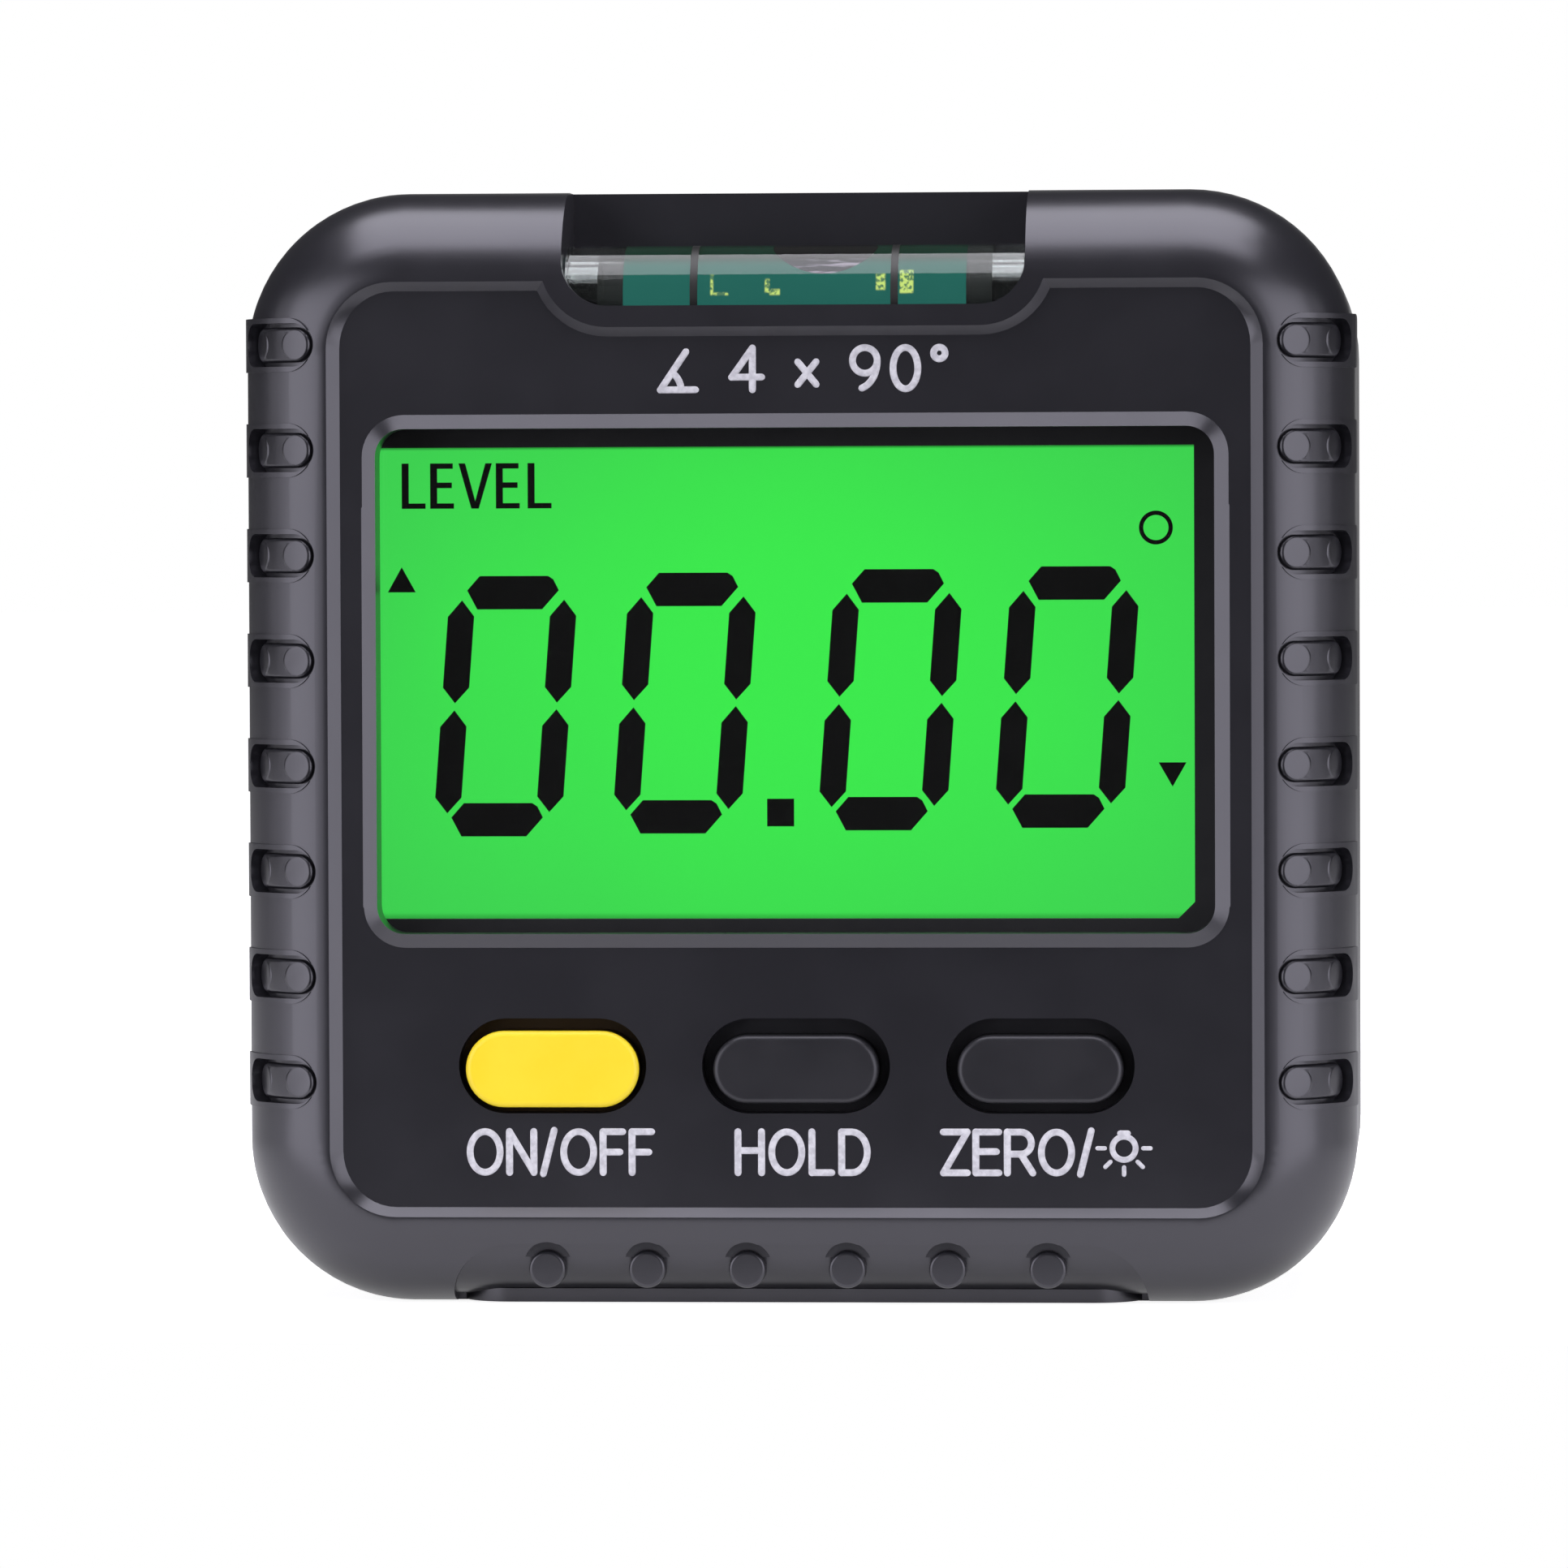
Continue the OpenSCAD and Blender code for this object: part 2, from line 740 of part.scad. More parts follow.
// Round pegs standing in the scoop.
module scoop_pegs() {
    for (i = [0 : peg_count - 1])
        translate([(i - (peg_count - 1) / 2) * peg_pitch, peg_z, 0])
            rotate_extrude()
                edge_section(peg_d / 2, arc_f + 1, peg_f, 0.18);
}

// Half section of a round bar with a rounded front edge.
module edge_section(r, f0, f1, e) {
    translate([0, f0])
        square([r, f1 - e - f0]);
    translate([0, f0])
        square([r - e, f1 - f0]);
    intersection() {
        translate([r - e, f1 - e])
            circle(e);
        translate([r - e, f1 - e])
            square([e, e]);
    }
}

// Pill with a rounded front edge.
module edge_pill(w, h, f0, f1, e) {
    for (s = [-1, 1])
        translate([s * (w - h) / 2, 0, 0])
            rotate_extrude()
                edge_section(h / 2, f0, f1, e);
    rotate([90, 0, 90])
        linear_extrude(height = w - h, center = true)
            union() {
                edge_section(h / 2, f0, f1, e);
                mirror([1, 0])
                    edge_section(h / 2, f0, f1, e);
            }
}

// Puts children at the four case screws.
module at_screws() {
    for (s = [-1, 1], z = [screw_z0, screw_z1])
        translate([s * screw_x, z, 0])
            children();
}

// Puts children at the two board screws.
module at_board_screws() {
    for (s = [-1, 1])
        translate([s * board_screw_x, board_screw_z, 0])
            children();
}

// Pockets for the two base magnets.
module magnet_pockets() {
    for (s = [-1, 1])
        translate([s * magnet_x, magnet_lift + magnet_t, magnet_f])
            rotate([90, 0, 0])
                cylinder(h = magnet_t + 2, r = magnet_d / 2 + fit / 2);
}

// Body of the front shell before the openings are cut.
module front_body() {
    difference() {
        union() {
            round_case()
                front_section();
            case_core(rear_depth, depth);
        }
        front_hollow();
    }
    translate([-block_x, block_z, block_f])
        cube([2 * block_x, body_h - wall - block_z + 0.4, wall_f - block_f + 0.4]);
    at_screws()
        translate([0, 0, rear_depth])
            cylinder(h = wall_f - rear_depth + 0.4, r = post_r);
    at_board_screws()
        translate([0, 0, board_f])
            cylinder(h = wall_f - board_f + 0.4, r = boss_r);
    for (s = [-1, 1])
        translate([s * magnet_x, magnet_lift + magnet_t + 1, magnet_f])
            rotate([90, 0, 0])
                cylinder(h = magnet_t, r = magnet_d / 2 + 1);
    difference() {
        translate([-pocket_w / 2 - rim_t, glass_z - pocket_h / 2 - rim_t, board_f])
            cube([pocket_w + 2 * rim_t, pocket_h + 2 * rim_t, wall_f - board_f + 0.4]);
        translate([-pocket_w / 2, glass_z - pocket_h / 2, board_f - 1])
            cube([pocket_w, pocket_h, wall_f - board_f + 1]);
    }
}

module front_housing() {
    color(charcoal)
        stand() {
            difference() {
                union() {
                    difference() {
                        front_body();
                        panel_cut();
                    }
                    translate([0, view_z, 0])
                        sloped_block(
                            view_w / 2 - view_r, view_h / 2 - view_r,
                            view_r + frame_w, view_r, panel_f - eps, panel_f + frame_h);
                    frame_ledges();
                    rib_rows()
                        rib_lip();
                }
                rib_rows()
                    rib_pocket();
                translate([0, view_z, 0])
                    between(wall_f - 0.5, depth + 1)
                        round_rect(view_w, view_h, view_r);
                for (i = [-1 : 1])
                    translate([i * key_pitch, key_z, 0])
                        between(wall_f - 1, depth + 1)
                            pill(well_w, well_h);
                vial_slot();
                scoop_cut();
                at_screws()
                    translate([0, 0, rear_depth - 1])
                        cylinder(h = screw_tip + 0.6 - rear_depth + 1, r = screw_d / 2);
                at_board_screws()
                    translate([0, 0, board_f - 1])
                        cylinder(h = board_screw_tip + 0.5 - board_f + 1, r = board_screw_d / 2);
                magnet_pockets();
            }
            rib_rows()
                rib();
            difference() {
                scoop_toe();
                magnet_pockets();
            }
            scoop_pegs();
        }
}

// Outline of the battery door grown by g: square hinge edge, round upper corners.
module door_outline(g) {
    w = door_w + 2 * g;
    translate([0, bay_z])
        round_rect(w, door_h + 2 * g, 1.6 + g);
    translate([-w / 2, bay_z - door_h / 2 - g])
        square([w, door_h / 2]);
}

module rear_housing() {
    in_w = body_w - 2 * (wall + fit + lip_t);
    in_h = body_h - 2 * (wall + fit + lip_t);
    in_r = corner_r - wall - fit - lip_t;
    bay_out = bay_x + bay_wall;
    color(charcoal)
        stand()
            difference() {
                union() {
                    difference() {
                        union() {
                            round_case()
                                rear_section();
                            case_core(0, rear_depth);
                            translate([0, mid_h, 0])
                                between(rear_depth - eps, rear_depth + lip_h)
                                    round_rect(in_w + 2 * lip_t, in_h + 2 * lip_t, in_r + lip_t);
                        }
                        translate([0, mid_h, 0])
                            between(door_t, rear_depth + lip_h + 1)
                                round_rect(in_w, in_h, in_r);
                    }
                    translate([-bay_out, bay_z - bay_h / 2 - bay_wall, door_t - 0.5])
                        cube([2 * bay_out, bay_h + 2 * bay_wall, bay_f + bay_wall - door_t + 0.5]);
                    at_screws()
                        translate([0, 0, door_t - 0.5])
                            cylinder(h = rear_depth - door_t + 0.5, r = post_r + 0.4);
                    for (s = [-1, 1])
                        translate([s * prop_x, prop_z, door_t - 0.5])
                            cylinder(h = board_back - door_t + 0.5, r = 1.5);
                }
                translate([-bay_x, bay_z - bay_h / 2, door_t])
                    cube([2 * bay_x, bay_h, bay_f - door_t]);
                between(-1, door_t)
                    door_outline(door_gap);
                translate([0, bay_z + door_h / 2, -4.6])
                    along_x(14, $r = 5.6);
                translate([0, hinge_z, hinge_r])
                    along_x(door_w + 2 * (pin_l + 0.2), $r = pin_d / 2 + door_gap);
                at_screws() {
                    translate([0, 0, -1])
                        cylinder(h = seat_f + 1, r = sink_d / 2);
                    translate([0, 0, -1])
                        cylinder(h = rear_depth + 2, r = screw_d / 2 + 0.15);
                }
                for (z = [low_z, high_z])
                    translate([-bay_x, z - tail_w / 2 - 0.2, bay_f - 1])
                        cube([plate_t + 0.2, tail_w + 0.4, bay_wall + 2]);
            }
}

module battery_door() {
    color(charcoal)
        stand() {
            difference() {
                union() {
                    intersection() {
                        between(0, door_t)
                            door_outline(0);
                        translate([-body_w, hinge_z, -1])
                            cube([2 * body_w, body_h, depth]);
                    }
                    translate([0, hinge_z, hinge_r])
                        along_x(door_w, $r = hinge_r);
                    translate([0, hinge_z, hinge_r])
                        along_x(door_w + 2 * pin_l, $r = pin_d / 2);
                }
                for (i = [0 : 2])
                    translate([0, bay_z + door_h / 2 - 3 - i * 1.6, -0.25])
                        along_x(12, $r = 0.6);
            }
        }
}

// Flat sheet of the display stack.
module sheet(w, h, z, f, t) {
    translate([-w / 2, z - h / 2, f])
        cube([w, h, t]);
}

module display_window() {
    color(clear)
        stand()
            sheet(glass_w, glass_h, glass_z, lens_f, lens_t);
}

module display_gasket() {
    x0 = lit_shift - lit_w / 2;
    x1 = lit_shift + lit_w / 2;
    z0 = view_z - lit_sag - lit_h / 2;
    z1 = view_z - lit_sag + lit_h / 2;
    color(dark)
        stand()
            difference() {
                sheet(glass_w, glass_h, glass_z, gasket_f, gasket_t);
                between(gasket_f - 1, lens_f + 1)
                    polygon([
                        [x0, z0], [x1 - lit_cut, z0], [x1, z0 + lit_cut], [x1, z1], [x0, z1]
                    ]);
            }
}

module lcd_glass() {
    color(green)
        stand()
            sheet(glass_w, glass_h, glass_z, lcd_f, lcd_t);
}

module backlight_panel() {
    color([0.93, 0.95, 0.92])
        stand()
            sheet(glass_w, light_h, light_z, light_f, light_t);
}

module connector_strip() {
    color([0.85, 0.55, 0.6])
        stand()
            sheet(glass_w - 3, strip_h, glass_z0 + fit + strip_h / 2, board_f, lcd_f - board_f);
}

module circuit_board() {
    color([0.1, 0.4, 0.22])
        stand()
            difference() {
                translate([-board_x, board_z0, board_back])
                    cube([2 * board_x, board_z1 - board_z0, board_t]);
                at_board_screws()
                    translate([0, 0, board_back - 1])
                        cylinder(h = board_t + 2, r = board_screw_d / 2 + 0.15);
                at_screws()
                    translate([0, 0, board_back - 1])
                        cylinder(h = board_t + 2, r = post_r + board_edge);
            }
}

// Flat chip on the back of the board.
module chip(x, z, w, h, t) {
    translate([x - w / 2, z - h / 2, board_back - t])
        cube([w, h, t]);
}

module microcontroller() {
    color(dark)
        stand()
            chip(mcu_x, prop_z - 0.3, mcu_w, mcu_h, chip_t);
}

module tilt_sensor() {
    color([0.2, 0.2, 0.22])
        stand()
            chip(0, prop_z, sensor_w, sensor_w, chip_t);
}

module board_components() {
    color([0.7, 0.6, 0.45])
        stand() {
            for (i = [0 : 2])
                chip((i - 4) * part_pitch, prop_z + part_h + 0.4, part_w, part_h, part_t);
            for (i = [0 : 1])
                chip((i - 3.5) * part_pitch, prop_z - part_h - 0.2, part_w, part_h, part_t);
        }
}

// Body of a key switch with the bore of its plunger.
module switch_body(x) {
    color(dark)
        stand()
            difference() {
                translate([x - switch_w / 2, press_z - switch_w / 2, board_f])
                    cube([switch_w, switch_w, switch_h]);
                translate([x, press_z, board_f + 0.6])
                    cylinder(h = switch_h, r = plunger_r + 0.1);
            }
}

module on_off_switch() {
    switch_body(-key_pitch);
}

module hold_switch() {
    switch_body(0);
}

module zero_switch() {
    switch_body(key_pitch);
}

// Plunger of a key switch.
module switch_plunger(x) {
    low = board_f + 0.6 + key_travel + 0.2;
    color([0.75, 0.75, 0.72])
        stand()
            translate([x, press_z, low])
                cylinder(h = plunger_f - low, r = plunger_r);
}

module on_off_plunger() {
    switch_plunger(-key_pitch);
}

module hold_plunger() {
    switch_plunger(0);
}

module zero_plunger() {
    switch_plunger(key_pitch);
}

// Key with a rounded cap, a flange behind the wall and a stem on the plunger.
module key(x, w, h) {
    stand()
        translate([x, press_z, 0]) {
            edge_pill(w, h, flange_f, key_f, key_edge);
            between(flange_f, flange_f + flange_t)
                pill(well_w + 2 * flange_over, well_h + 2 * flange_over);
            translate([0, 0, plunger_f])
                cylinder(h = flange_f - plunger_f + eps, r = stem_r);
        }
}

module on_off_button() {
    color(yellow)
        key(-key_pitch, power_w, power_h);
}

module hold_button() {
    color(dark)
        key(0, key_w, key_h);
}

module zero_button() {
    color(dark)
        key(key_pitch, key_w, key_h);
}

// Puts children on the vial axis, turned to lie along it.
module on_vial() {
    stand()
        translate([0, tube_z, tube_f])
            children();
}

module vial_tube() {
    color(clear)
        on_vial()
            difference() {
                along_x(tube_l, $r = tube_r);
                along_x(tube_l + 2, $r = bore_r);
                ring_pair(0.5);
            }
}

// The two marker rings, grown outwards by g so that they also cut their grooves.
module ring_pair(g) {
    for (s = [-1, 1])
        translate([s * ring_span / 2, 0, 0])
            difference() {
                along_x(ring_w, $r = tube_r + g);
                along_x(ring_w + 1, $r = tube_r - ring_t);
            }
}

module vial_rings() {
    color(dark)
        on_vial()
            ring_pair(0);
}

module vial_liquid() {
    color([0.15, 0.5, 0.4])
        on_vial()
            difference() {
                along_x(liquid_l, $r = bore_r);
                translate([bubble_x, bubble_z - tube_z, 0])
                    sphere(bubble_r);
            }
}

module vial_plugs() {
    color(dark)
        on_vial()
            for (s = [-1, 1])
                translate([s * (liquid_l + plug_l) / 2, 0, 0])
                    along_x(plug_l, $r = bore_r);
}

module vial_end_caps() {
    color(clear)
        on_vial()
            for (s = [-1, 1])
                translate([s * (tube_l - cap_l) / 2, 0, 0])
                    along_x(cap_l, $r = bore_r);
}

// Round base magnet.
module magnet(s) {
    color(steel)
        stand()
            translate([s * magnet_x, magnet_lift + magnet_t, magnet_f])
                rotate([90, 0, 0])
                    cylinder(h = magnet_t, r = magnet_d / 2);
}

module left_magnet() {
    magnet(-1);
}

module right_magnet() {
    magnet(1);
}

// Battery cell with its nub towards s.
module cell(z, s) {
    color([0.75, 0.6, 0.3])
        stand()
            translate([s * (bay_x - plate_t), z, cell_f])
                mirror([s > 0 ? 1 : 0, 0, 0])
                    rotate([0, 90, 0])
                        union() {
                            cylinder(h = nub_l + 0.2, r = nub_d / 2);
                            translate([0, 0, nub_l])
                                cylinder(h = cell_l - nub_l, r = cell_d / 2);
                        }
}

module upper_cell() {
    cell(high_z, 1);
}

module lower_cell() {
    cell(low_z, -1);
}

// Contact spring of three rings along x, joined on alternate sides.
module coil(x, z) {
    step = (spring_l - spring_wire) / 2;
    ring_r = spring_r - spring_wire / 2;
    color(steel)
        stand()
            translate([x, z, cell_f])
                rotate([0, 90, 0]) {
                    for (i = [-1 : 1])
                        translate([0, 0, i * step])
                            rotate_extrude()
                                translate([ring_r, 0])
                                    circle(d = spring_wire);
                    for (s = [-1, 1])
                        translate([s * ring_r, 0, s * step / 2])
                            cylinder(h = step, r = spring_wire * 0.35, center = true);
                }
}

module upper_spring() {
    coil(-(bay_x - plate_t - spring_l / 2), high_z);
}

module lower_spring() {
    coil(bay_x - plate_t - spring_l / 2, low_z);
}

module terminal_plates() {
    color(steel)
        stand()
            for (z = [low_z, high_z])
                translate([-bay_x, z, 0]) {
                    translate([0, -plate_w / 2, cell_f - plate_w / 2])
                        cube([plate_t, plate_w, plate_w]);
                    translate([0, -tail_w / 2, cell_f])
                        cube([plate_t, tail_w, board_back - cell_f]);
                }
}

module bridge_plate() {
    color(steel)
        stand()
            translate([bay_x - plate_t, low_z - plate_w / 2, cell_f - plate_w / 2])
                cube([plate_t, cell_pitch + plate_w, plate_w]);
}

module case_screws() {
    color(steel)
        stand()
            at_screws()
                difference() {
                    union() {
                        translate([0, 0, seat_f - head_h])
                            cylinder(h = head_h, r = head_d / 2);
                        translate([0, 0, seat_f - eps])
                            cylinder(h = screw_tip - seat_f + eps, r = screw_d / 2);
                    }
                    for (a = [0, 90])
                        rotate([0, 0, a])
                            translate([-cross_l / 2, -cross_w / 2, seat_f - head_h - 0.5])
                                cube([cross_l, cross_w, cross_d + 0.5]);
                }
}

module board_screws() {
    color(steel)
        stand()
            at_board_screws() {
                translate([0, 0, board_back - board_head_h])
                    cylinder(h = board_head_h, r = board_screw_d / 2 + board_head_over);
                translate([0, 0, board_back - eps])
                    cylinder(h = board_screw_tip - board_back + eps, r = board_screw_d / 2);
            }
}

front_housing();
rear_housing();
battery_door();
display_window();
display_gasket();
lcd_glass();
backlight_panel();
connector_strip();
circuit_board();
microcontroller();
tilt_sensor();
board_components();
on_off_switch();
hold_switch();
zero_switch();
on_off_plunger();
hold_plunger();
zero_plunger();
on_off_button();
hold_button();
zero_button();
vial_tube();
vial_liquid();
vial_plugs();
vial_end_caps();
vial_rings();
left_magnet();
right_magnet();
upper_cell();
lower_cell();
upper_spring();
lower_spring();
terminal_plates();
bridge_plate();
case_screws();
board_screws();
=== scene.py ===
import json
import math

import bmesh
import bpy
from mathutils import Matrix, Vector

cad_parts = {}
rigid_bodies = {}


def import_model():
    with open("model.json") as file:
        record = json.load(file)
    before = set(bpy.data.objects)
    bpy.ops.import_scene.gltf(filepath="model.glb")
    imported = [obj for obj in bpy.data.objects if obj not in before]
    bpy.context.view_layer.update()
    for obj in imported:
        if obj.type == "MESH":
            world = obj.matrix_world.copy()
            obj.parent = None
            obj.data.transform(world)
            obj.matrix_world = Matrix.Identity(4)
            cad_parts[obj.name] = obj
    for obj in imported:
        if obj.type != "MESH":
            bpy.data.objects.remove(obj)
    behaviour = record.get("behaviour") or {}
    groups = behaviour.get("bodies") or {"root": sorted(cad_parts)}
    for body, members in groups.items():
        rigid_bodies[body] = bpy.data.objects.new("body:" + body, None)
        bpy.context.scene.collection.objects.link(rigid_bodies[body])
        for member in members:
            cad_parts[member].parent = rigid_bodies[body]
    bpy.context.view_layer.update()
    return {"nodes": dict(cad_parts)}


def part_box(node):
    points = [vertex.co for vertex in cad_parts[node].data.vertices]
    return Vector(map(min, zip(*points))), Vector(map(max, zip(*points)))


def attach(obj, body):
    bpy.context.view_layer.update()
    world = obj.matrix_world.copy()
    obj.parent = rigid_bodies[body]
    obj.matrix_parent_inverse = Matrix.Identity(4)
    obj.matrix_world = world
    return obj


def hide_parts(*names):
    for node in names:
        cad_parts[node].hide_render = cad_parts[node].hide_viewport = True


# The start-up objects go first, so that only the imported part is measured.
bpy.ops.object.select_all(action="SELECT")
bpy.ops.object.delete()
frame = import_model()
nodes = frame["nodes"]
bpy.ops.object.select_all(action="DESELECT")

MM = 0.001
PHOTO_SIDE = 1932

# Faces that carry printed or lit marks, in millimetres. The panel is set back from the front.
PANEL_DROP = 0.45
LCD_FACE_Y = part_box("lcd_glass")[0].y / MM
PANEL_FACE_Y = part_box("front_housing")[0].y / MM + PANEL_DROP

# The vial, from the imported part, in millimetres.
TUBE_LOW, TUBE_HIGH = (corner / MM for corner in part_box("vial_tube"))
LIQUID_LOW, LIQUID_HIGH = (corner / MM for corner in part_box("vial_liquid"))
VIAL_Y = (TUBE_LOW.y + TUBE_HIGH.y) / 2
VIAL_Z = (TUBE_LOW.z + TUBE_HIGH.z) / 2
BORE_R = VIAL_Z - LIQUID_LOW.z
BUBBLE_X = 1.4
BUBBLE_R = 3.05
BUBBLE_DEPTH = 1.35
BUBBLE_Z = VIAL_Z + BORE_R + BUBBLE_R - BUBBLE_DEPTH


# Shader helpers

def set_or_link(tree, socket, value):
    """Sets a plain number on a socket, or links what another node puts out."""
    if isinstance(value, (int, float)):
        socket.default_value = value
    else:
        tree.links.new(value, socket)


def math_node(tree, operation, *values):
    node = tree.nodes.new("ShaderNodeMath")
    node.operation = operation
    for socket, value in zip(node.inputs, values):
        set_or_link(tree, socket, value)
    return node.outputs["Value"]


def vector_node(tree, operation, vector, factors=None):
    node = tree.nodes.new("ShaderNodeVectorMath")
    node.operation = operation
    tree.links.new(vector, node.inputs[0])
    if factors is not None:
        node.inputs[1].default_value = factors
    return node.outputs["Value" if operation == "LENGTH" else "Vector"]


def remap(tree, value, low, high, to_low, to_high, smooth=False):
    node = tree.nodes.new("ShaderNodeMapRange")
    if smooth:
        node.interpolation_type = "SMOOTHSTEP"
    tree.links.new(value, node.inputs["Value"])
    node.inputs["From Min"].default_value = low
    node.inputs["From Max"].default_value = high
    node.inputs["To Min"].default_value = to_low
    node.inputs["To Max"].default_value = to_high
    return node.outputs["Result"]


def noise(tree, vector, scale, detail, rough=0.5):
    node = tree.nodes.new("ShaderNodeTexNoise")
    node.inputs["Detail"].default_value = detail
    node.inputs["Roughness"].default_value = rough
    tree.links.new(vector, node.inputs["Vector"])
    set_or_link(tree, node.inputs["Scale"], scale)
    return node.outputs["Fac"]


def mix_colour(tree, fac, first, second):
    """Mix of two colours; each is three numbers or what another node puts out."""
    node = tree.nodes.new("ShaderNodeMix")
    node.data_type = "RGBA"
    tree.links.new(fac, node.inputs["Factor"])
    colours = [socket for socket in node.inputs if socket.type == "RGBA"]
    for socket, value in zip(colours, (first, second)):
        if isinstance(value, tuple):
            socket.default_value = value + (1.0,)
        else:
            tree.links.new(value, socket)
    return [socket for socket in node.outputs if socket.type == "RGBA"][0]


def mix_shader(tree, fac, first, second):
    node = tree.nodes.new("ShaderNodeMixShader")
    tree.links.new(fac, node.inputs["Fac"])
    tree.links.new(first, node.inputs[1])
    tree.links.new(second, node.inputs[2])
    return node.outputs["Shader"]


def object_place(tree):
    return tree.nodes.new("ShaderNodeTexCoord").outputs["Object"]


def split_place(tree):
    node = tree.nodes.new("ShaderNodeSeparateXYZ")
    tree.links.new(object_place(tree), node.inputs["Vector"])
    return node.outputs


def between(tree, value, low, high, soft):
    """One inside a range of a coordinate, in millimetres, with soft ends."""
    rise = remap(tree, value, (low - soft) * MM, (low + soft) * MM, 0, 1, True)
    fall = remap(tree, value, (high - soft) * MM, (high + soft) * MM, 1, 0, True)
    return math_node(tree, "MULTIPLY", rise, fall)


# Camera and studio

CAMERA_AZIMUTH = 4.0
CAMERA_ELEVATION = 1.48
CAMERA_ROLL = -0.22
CAMERA_DISTANCE = 450 * MM
CAMERA_AIM = Vector((0, 0, 27)) * MM
CAMERA_CLIP = (0.01, 20)
FOCAL_PIXELS = 11205
CENTRE_PIXEL = (999.8, 915.3)
SENSOR = 36


def add_camera():
    az = math.radians(CAMERA_AZIMUTH)
    el = math.radians(CAMERA_ELEVATION)
    roll = math.radians(CAMERA_ROLL)
    ahead = Vector((
        -math.sin(az) * math.cos(el), math.cos(az) * math.cos(el), -math.sin(el)))
    level = Vector((math.cos(az), math.sin(az), 0))
    above = level.cross(ahead)
    right = math.cos(roll) * level + math.sin(roll) * above
    up = math.cos(roll) * above - math.sin(roll) * level
    eye = CAMERA_AIM - ahead * CAMERA_DISTANCE

    data = bpy.data.cameras.new("camera")
    data.sensor_width = SENSOR
    data.lens = FOCAL_PIXELS * SENSOR / PHOTO_SIDE
    data.shift_x = (PHOTO_SIDE / 2 - CENTRE_PIXEL[0]) / PHOTO_SIDE
    data.shift_y = (CENTRE_PIXEL[1] - PHOTO_SIDE / 2) / PHOTO_SIDE
    data.clip_start, data.clip_end = CAMERA_CLIP
    camera = bpy.data.objects.new("camera", data)
    bpy.context.collection.objects.link(camera)
    camera.matrix_world = Matrix((
        (right.x, up.x, -ahead.x, eye.x),
        (right.y, up.y, -ahead.y, eye.y),
        (right.z, up.z, -ahead.z, eye.z),
        (0, 0, 0, 1)))
    bpy.context.scene.camera = camera


LAMP_COLOUR = (0.95, 0.94, 1.0)


def add_softbox(name, azimuth, elevation, distance, width, height, radiance):
    """Flat lamp that faces the middle of the part. Azimuth 0 is straight in front."""
    az = math.radians(azimuth)
    el = math.radians(elevation)
    towards = Vector((
        math.sin(az) * math.cos(el), -math.cos(az) * math.cos(el), math.sin(el)))
    data = bpy.data.lights.new(name, "AREA")
    data.shape = "RECTANGLE"
    data.size = width
    data.size_y = height
    data.energy = radiance * math.pi * width * height
    data.color = LAMP_COLOUR
    lamp = bpy.data.objects.new(name, data)
    bpy.context.collection.objects.link(lamp)
    lamp.location = CAMERA_AIM + towards * distance
    lamp.rotation_euler = towards.to_track_quat("Z", "Y").to_euler()


def seen_white(tree, share):
    """One for camera rays, a share of one for reflected and transmitted rays."""
    path = tree.nodes.new("ShaderNodeLightPath")
    bent = math_node(
        tree, "MAXIMUM", path.outputs["Is Glossy Ray"], path.outputs["Is Transmission Ray"])
    return math_node(
        tree, "MAXIMUM", path.outputs["Is Camera Ray"], math_node(tree, "MULTIPLY", bent, share))


# The world is white straight behind the part, seen by its Y direction, and dim around it.
BEHIND_FROM = 0.9
BEHIND_SHARE = 0.4
AROUND_STRENGTH = 0.05


def add_world():
    """White to the camera, and behind the part also in reflections; dim elsewhere."""
    world = bpy.data.worlds.new("studio")
    bpy.context.scene.world = world
    world.use_nodes = True
    tree = world.node_tree
    tree.nodes.clear()
    place = tree.nodes.new("ShaderNodeTexCoord")
    split = tree.nodes.new("ShaderNodeSeparateXYZ")
    tree.links.new(place.outputs["Generated"], split.inputs["Vector"])
    behind = remap(tree, split.outputs["Y"], BEHIND_FROM, 1, 0, BEHIND_SHARE, True)
    around = tree.nodes.new("ShaderNodeBackground")
    around.inputs["Color"].default_value = (1, 1, 1, 1)
    around.inputs["Strength"].default_value = AROUND_STRENGTH
    white = tree.nodes.new("ShaderNodeBackground")
    white.inputs["Color"].default_value = (1, 1, 1, 1)
    white.inputs["Strength"].default_value = 1.0
    out = tree.nodes.new("ShaderNodeOutputWorld")
    either = mix_shader(
        tree, seen_white(tree, behind), around.outputs["Background"], white.outputs["Background"])
    tree.links.new(either, out.inputs["Surface"])


# Sizes of the floor in metres. Its glow rises with distance, and its reflection falls.
FLOOR_SIDE = 3.0
FLOOR_FRONT = -0.03
FLOOR_DROP = 0.02 * MM
FLOOR_CUTS = 3
GLOW_REACH = (0.06, 0.30)
GLOW_STRENGTH = (0.86, 1.0)
MIRRORED_REACH = (0.035, 0.09)
MIRRORED_SHARE = (0.6, 0.1)


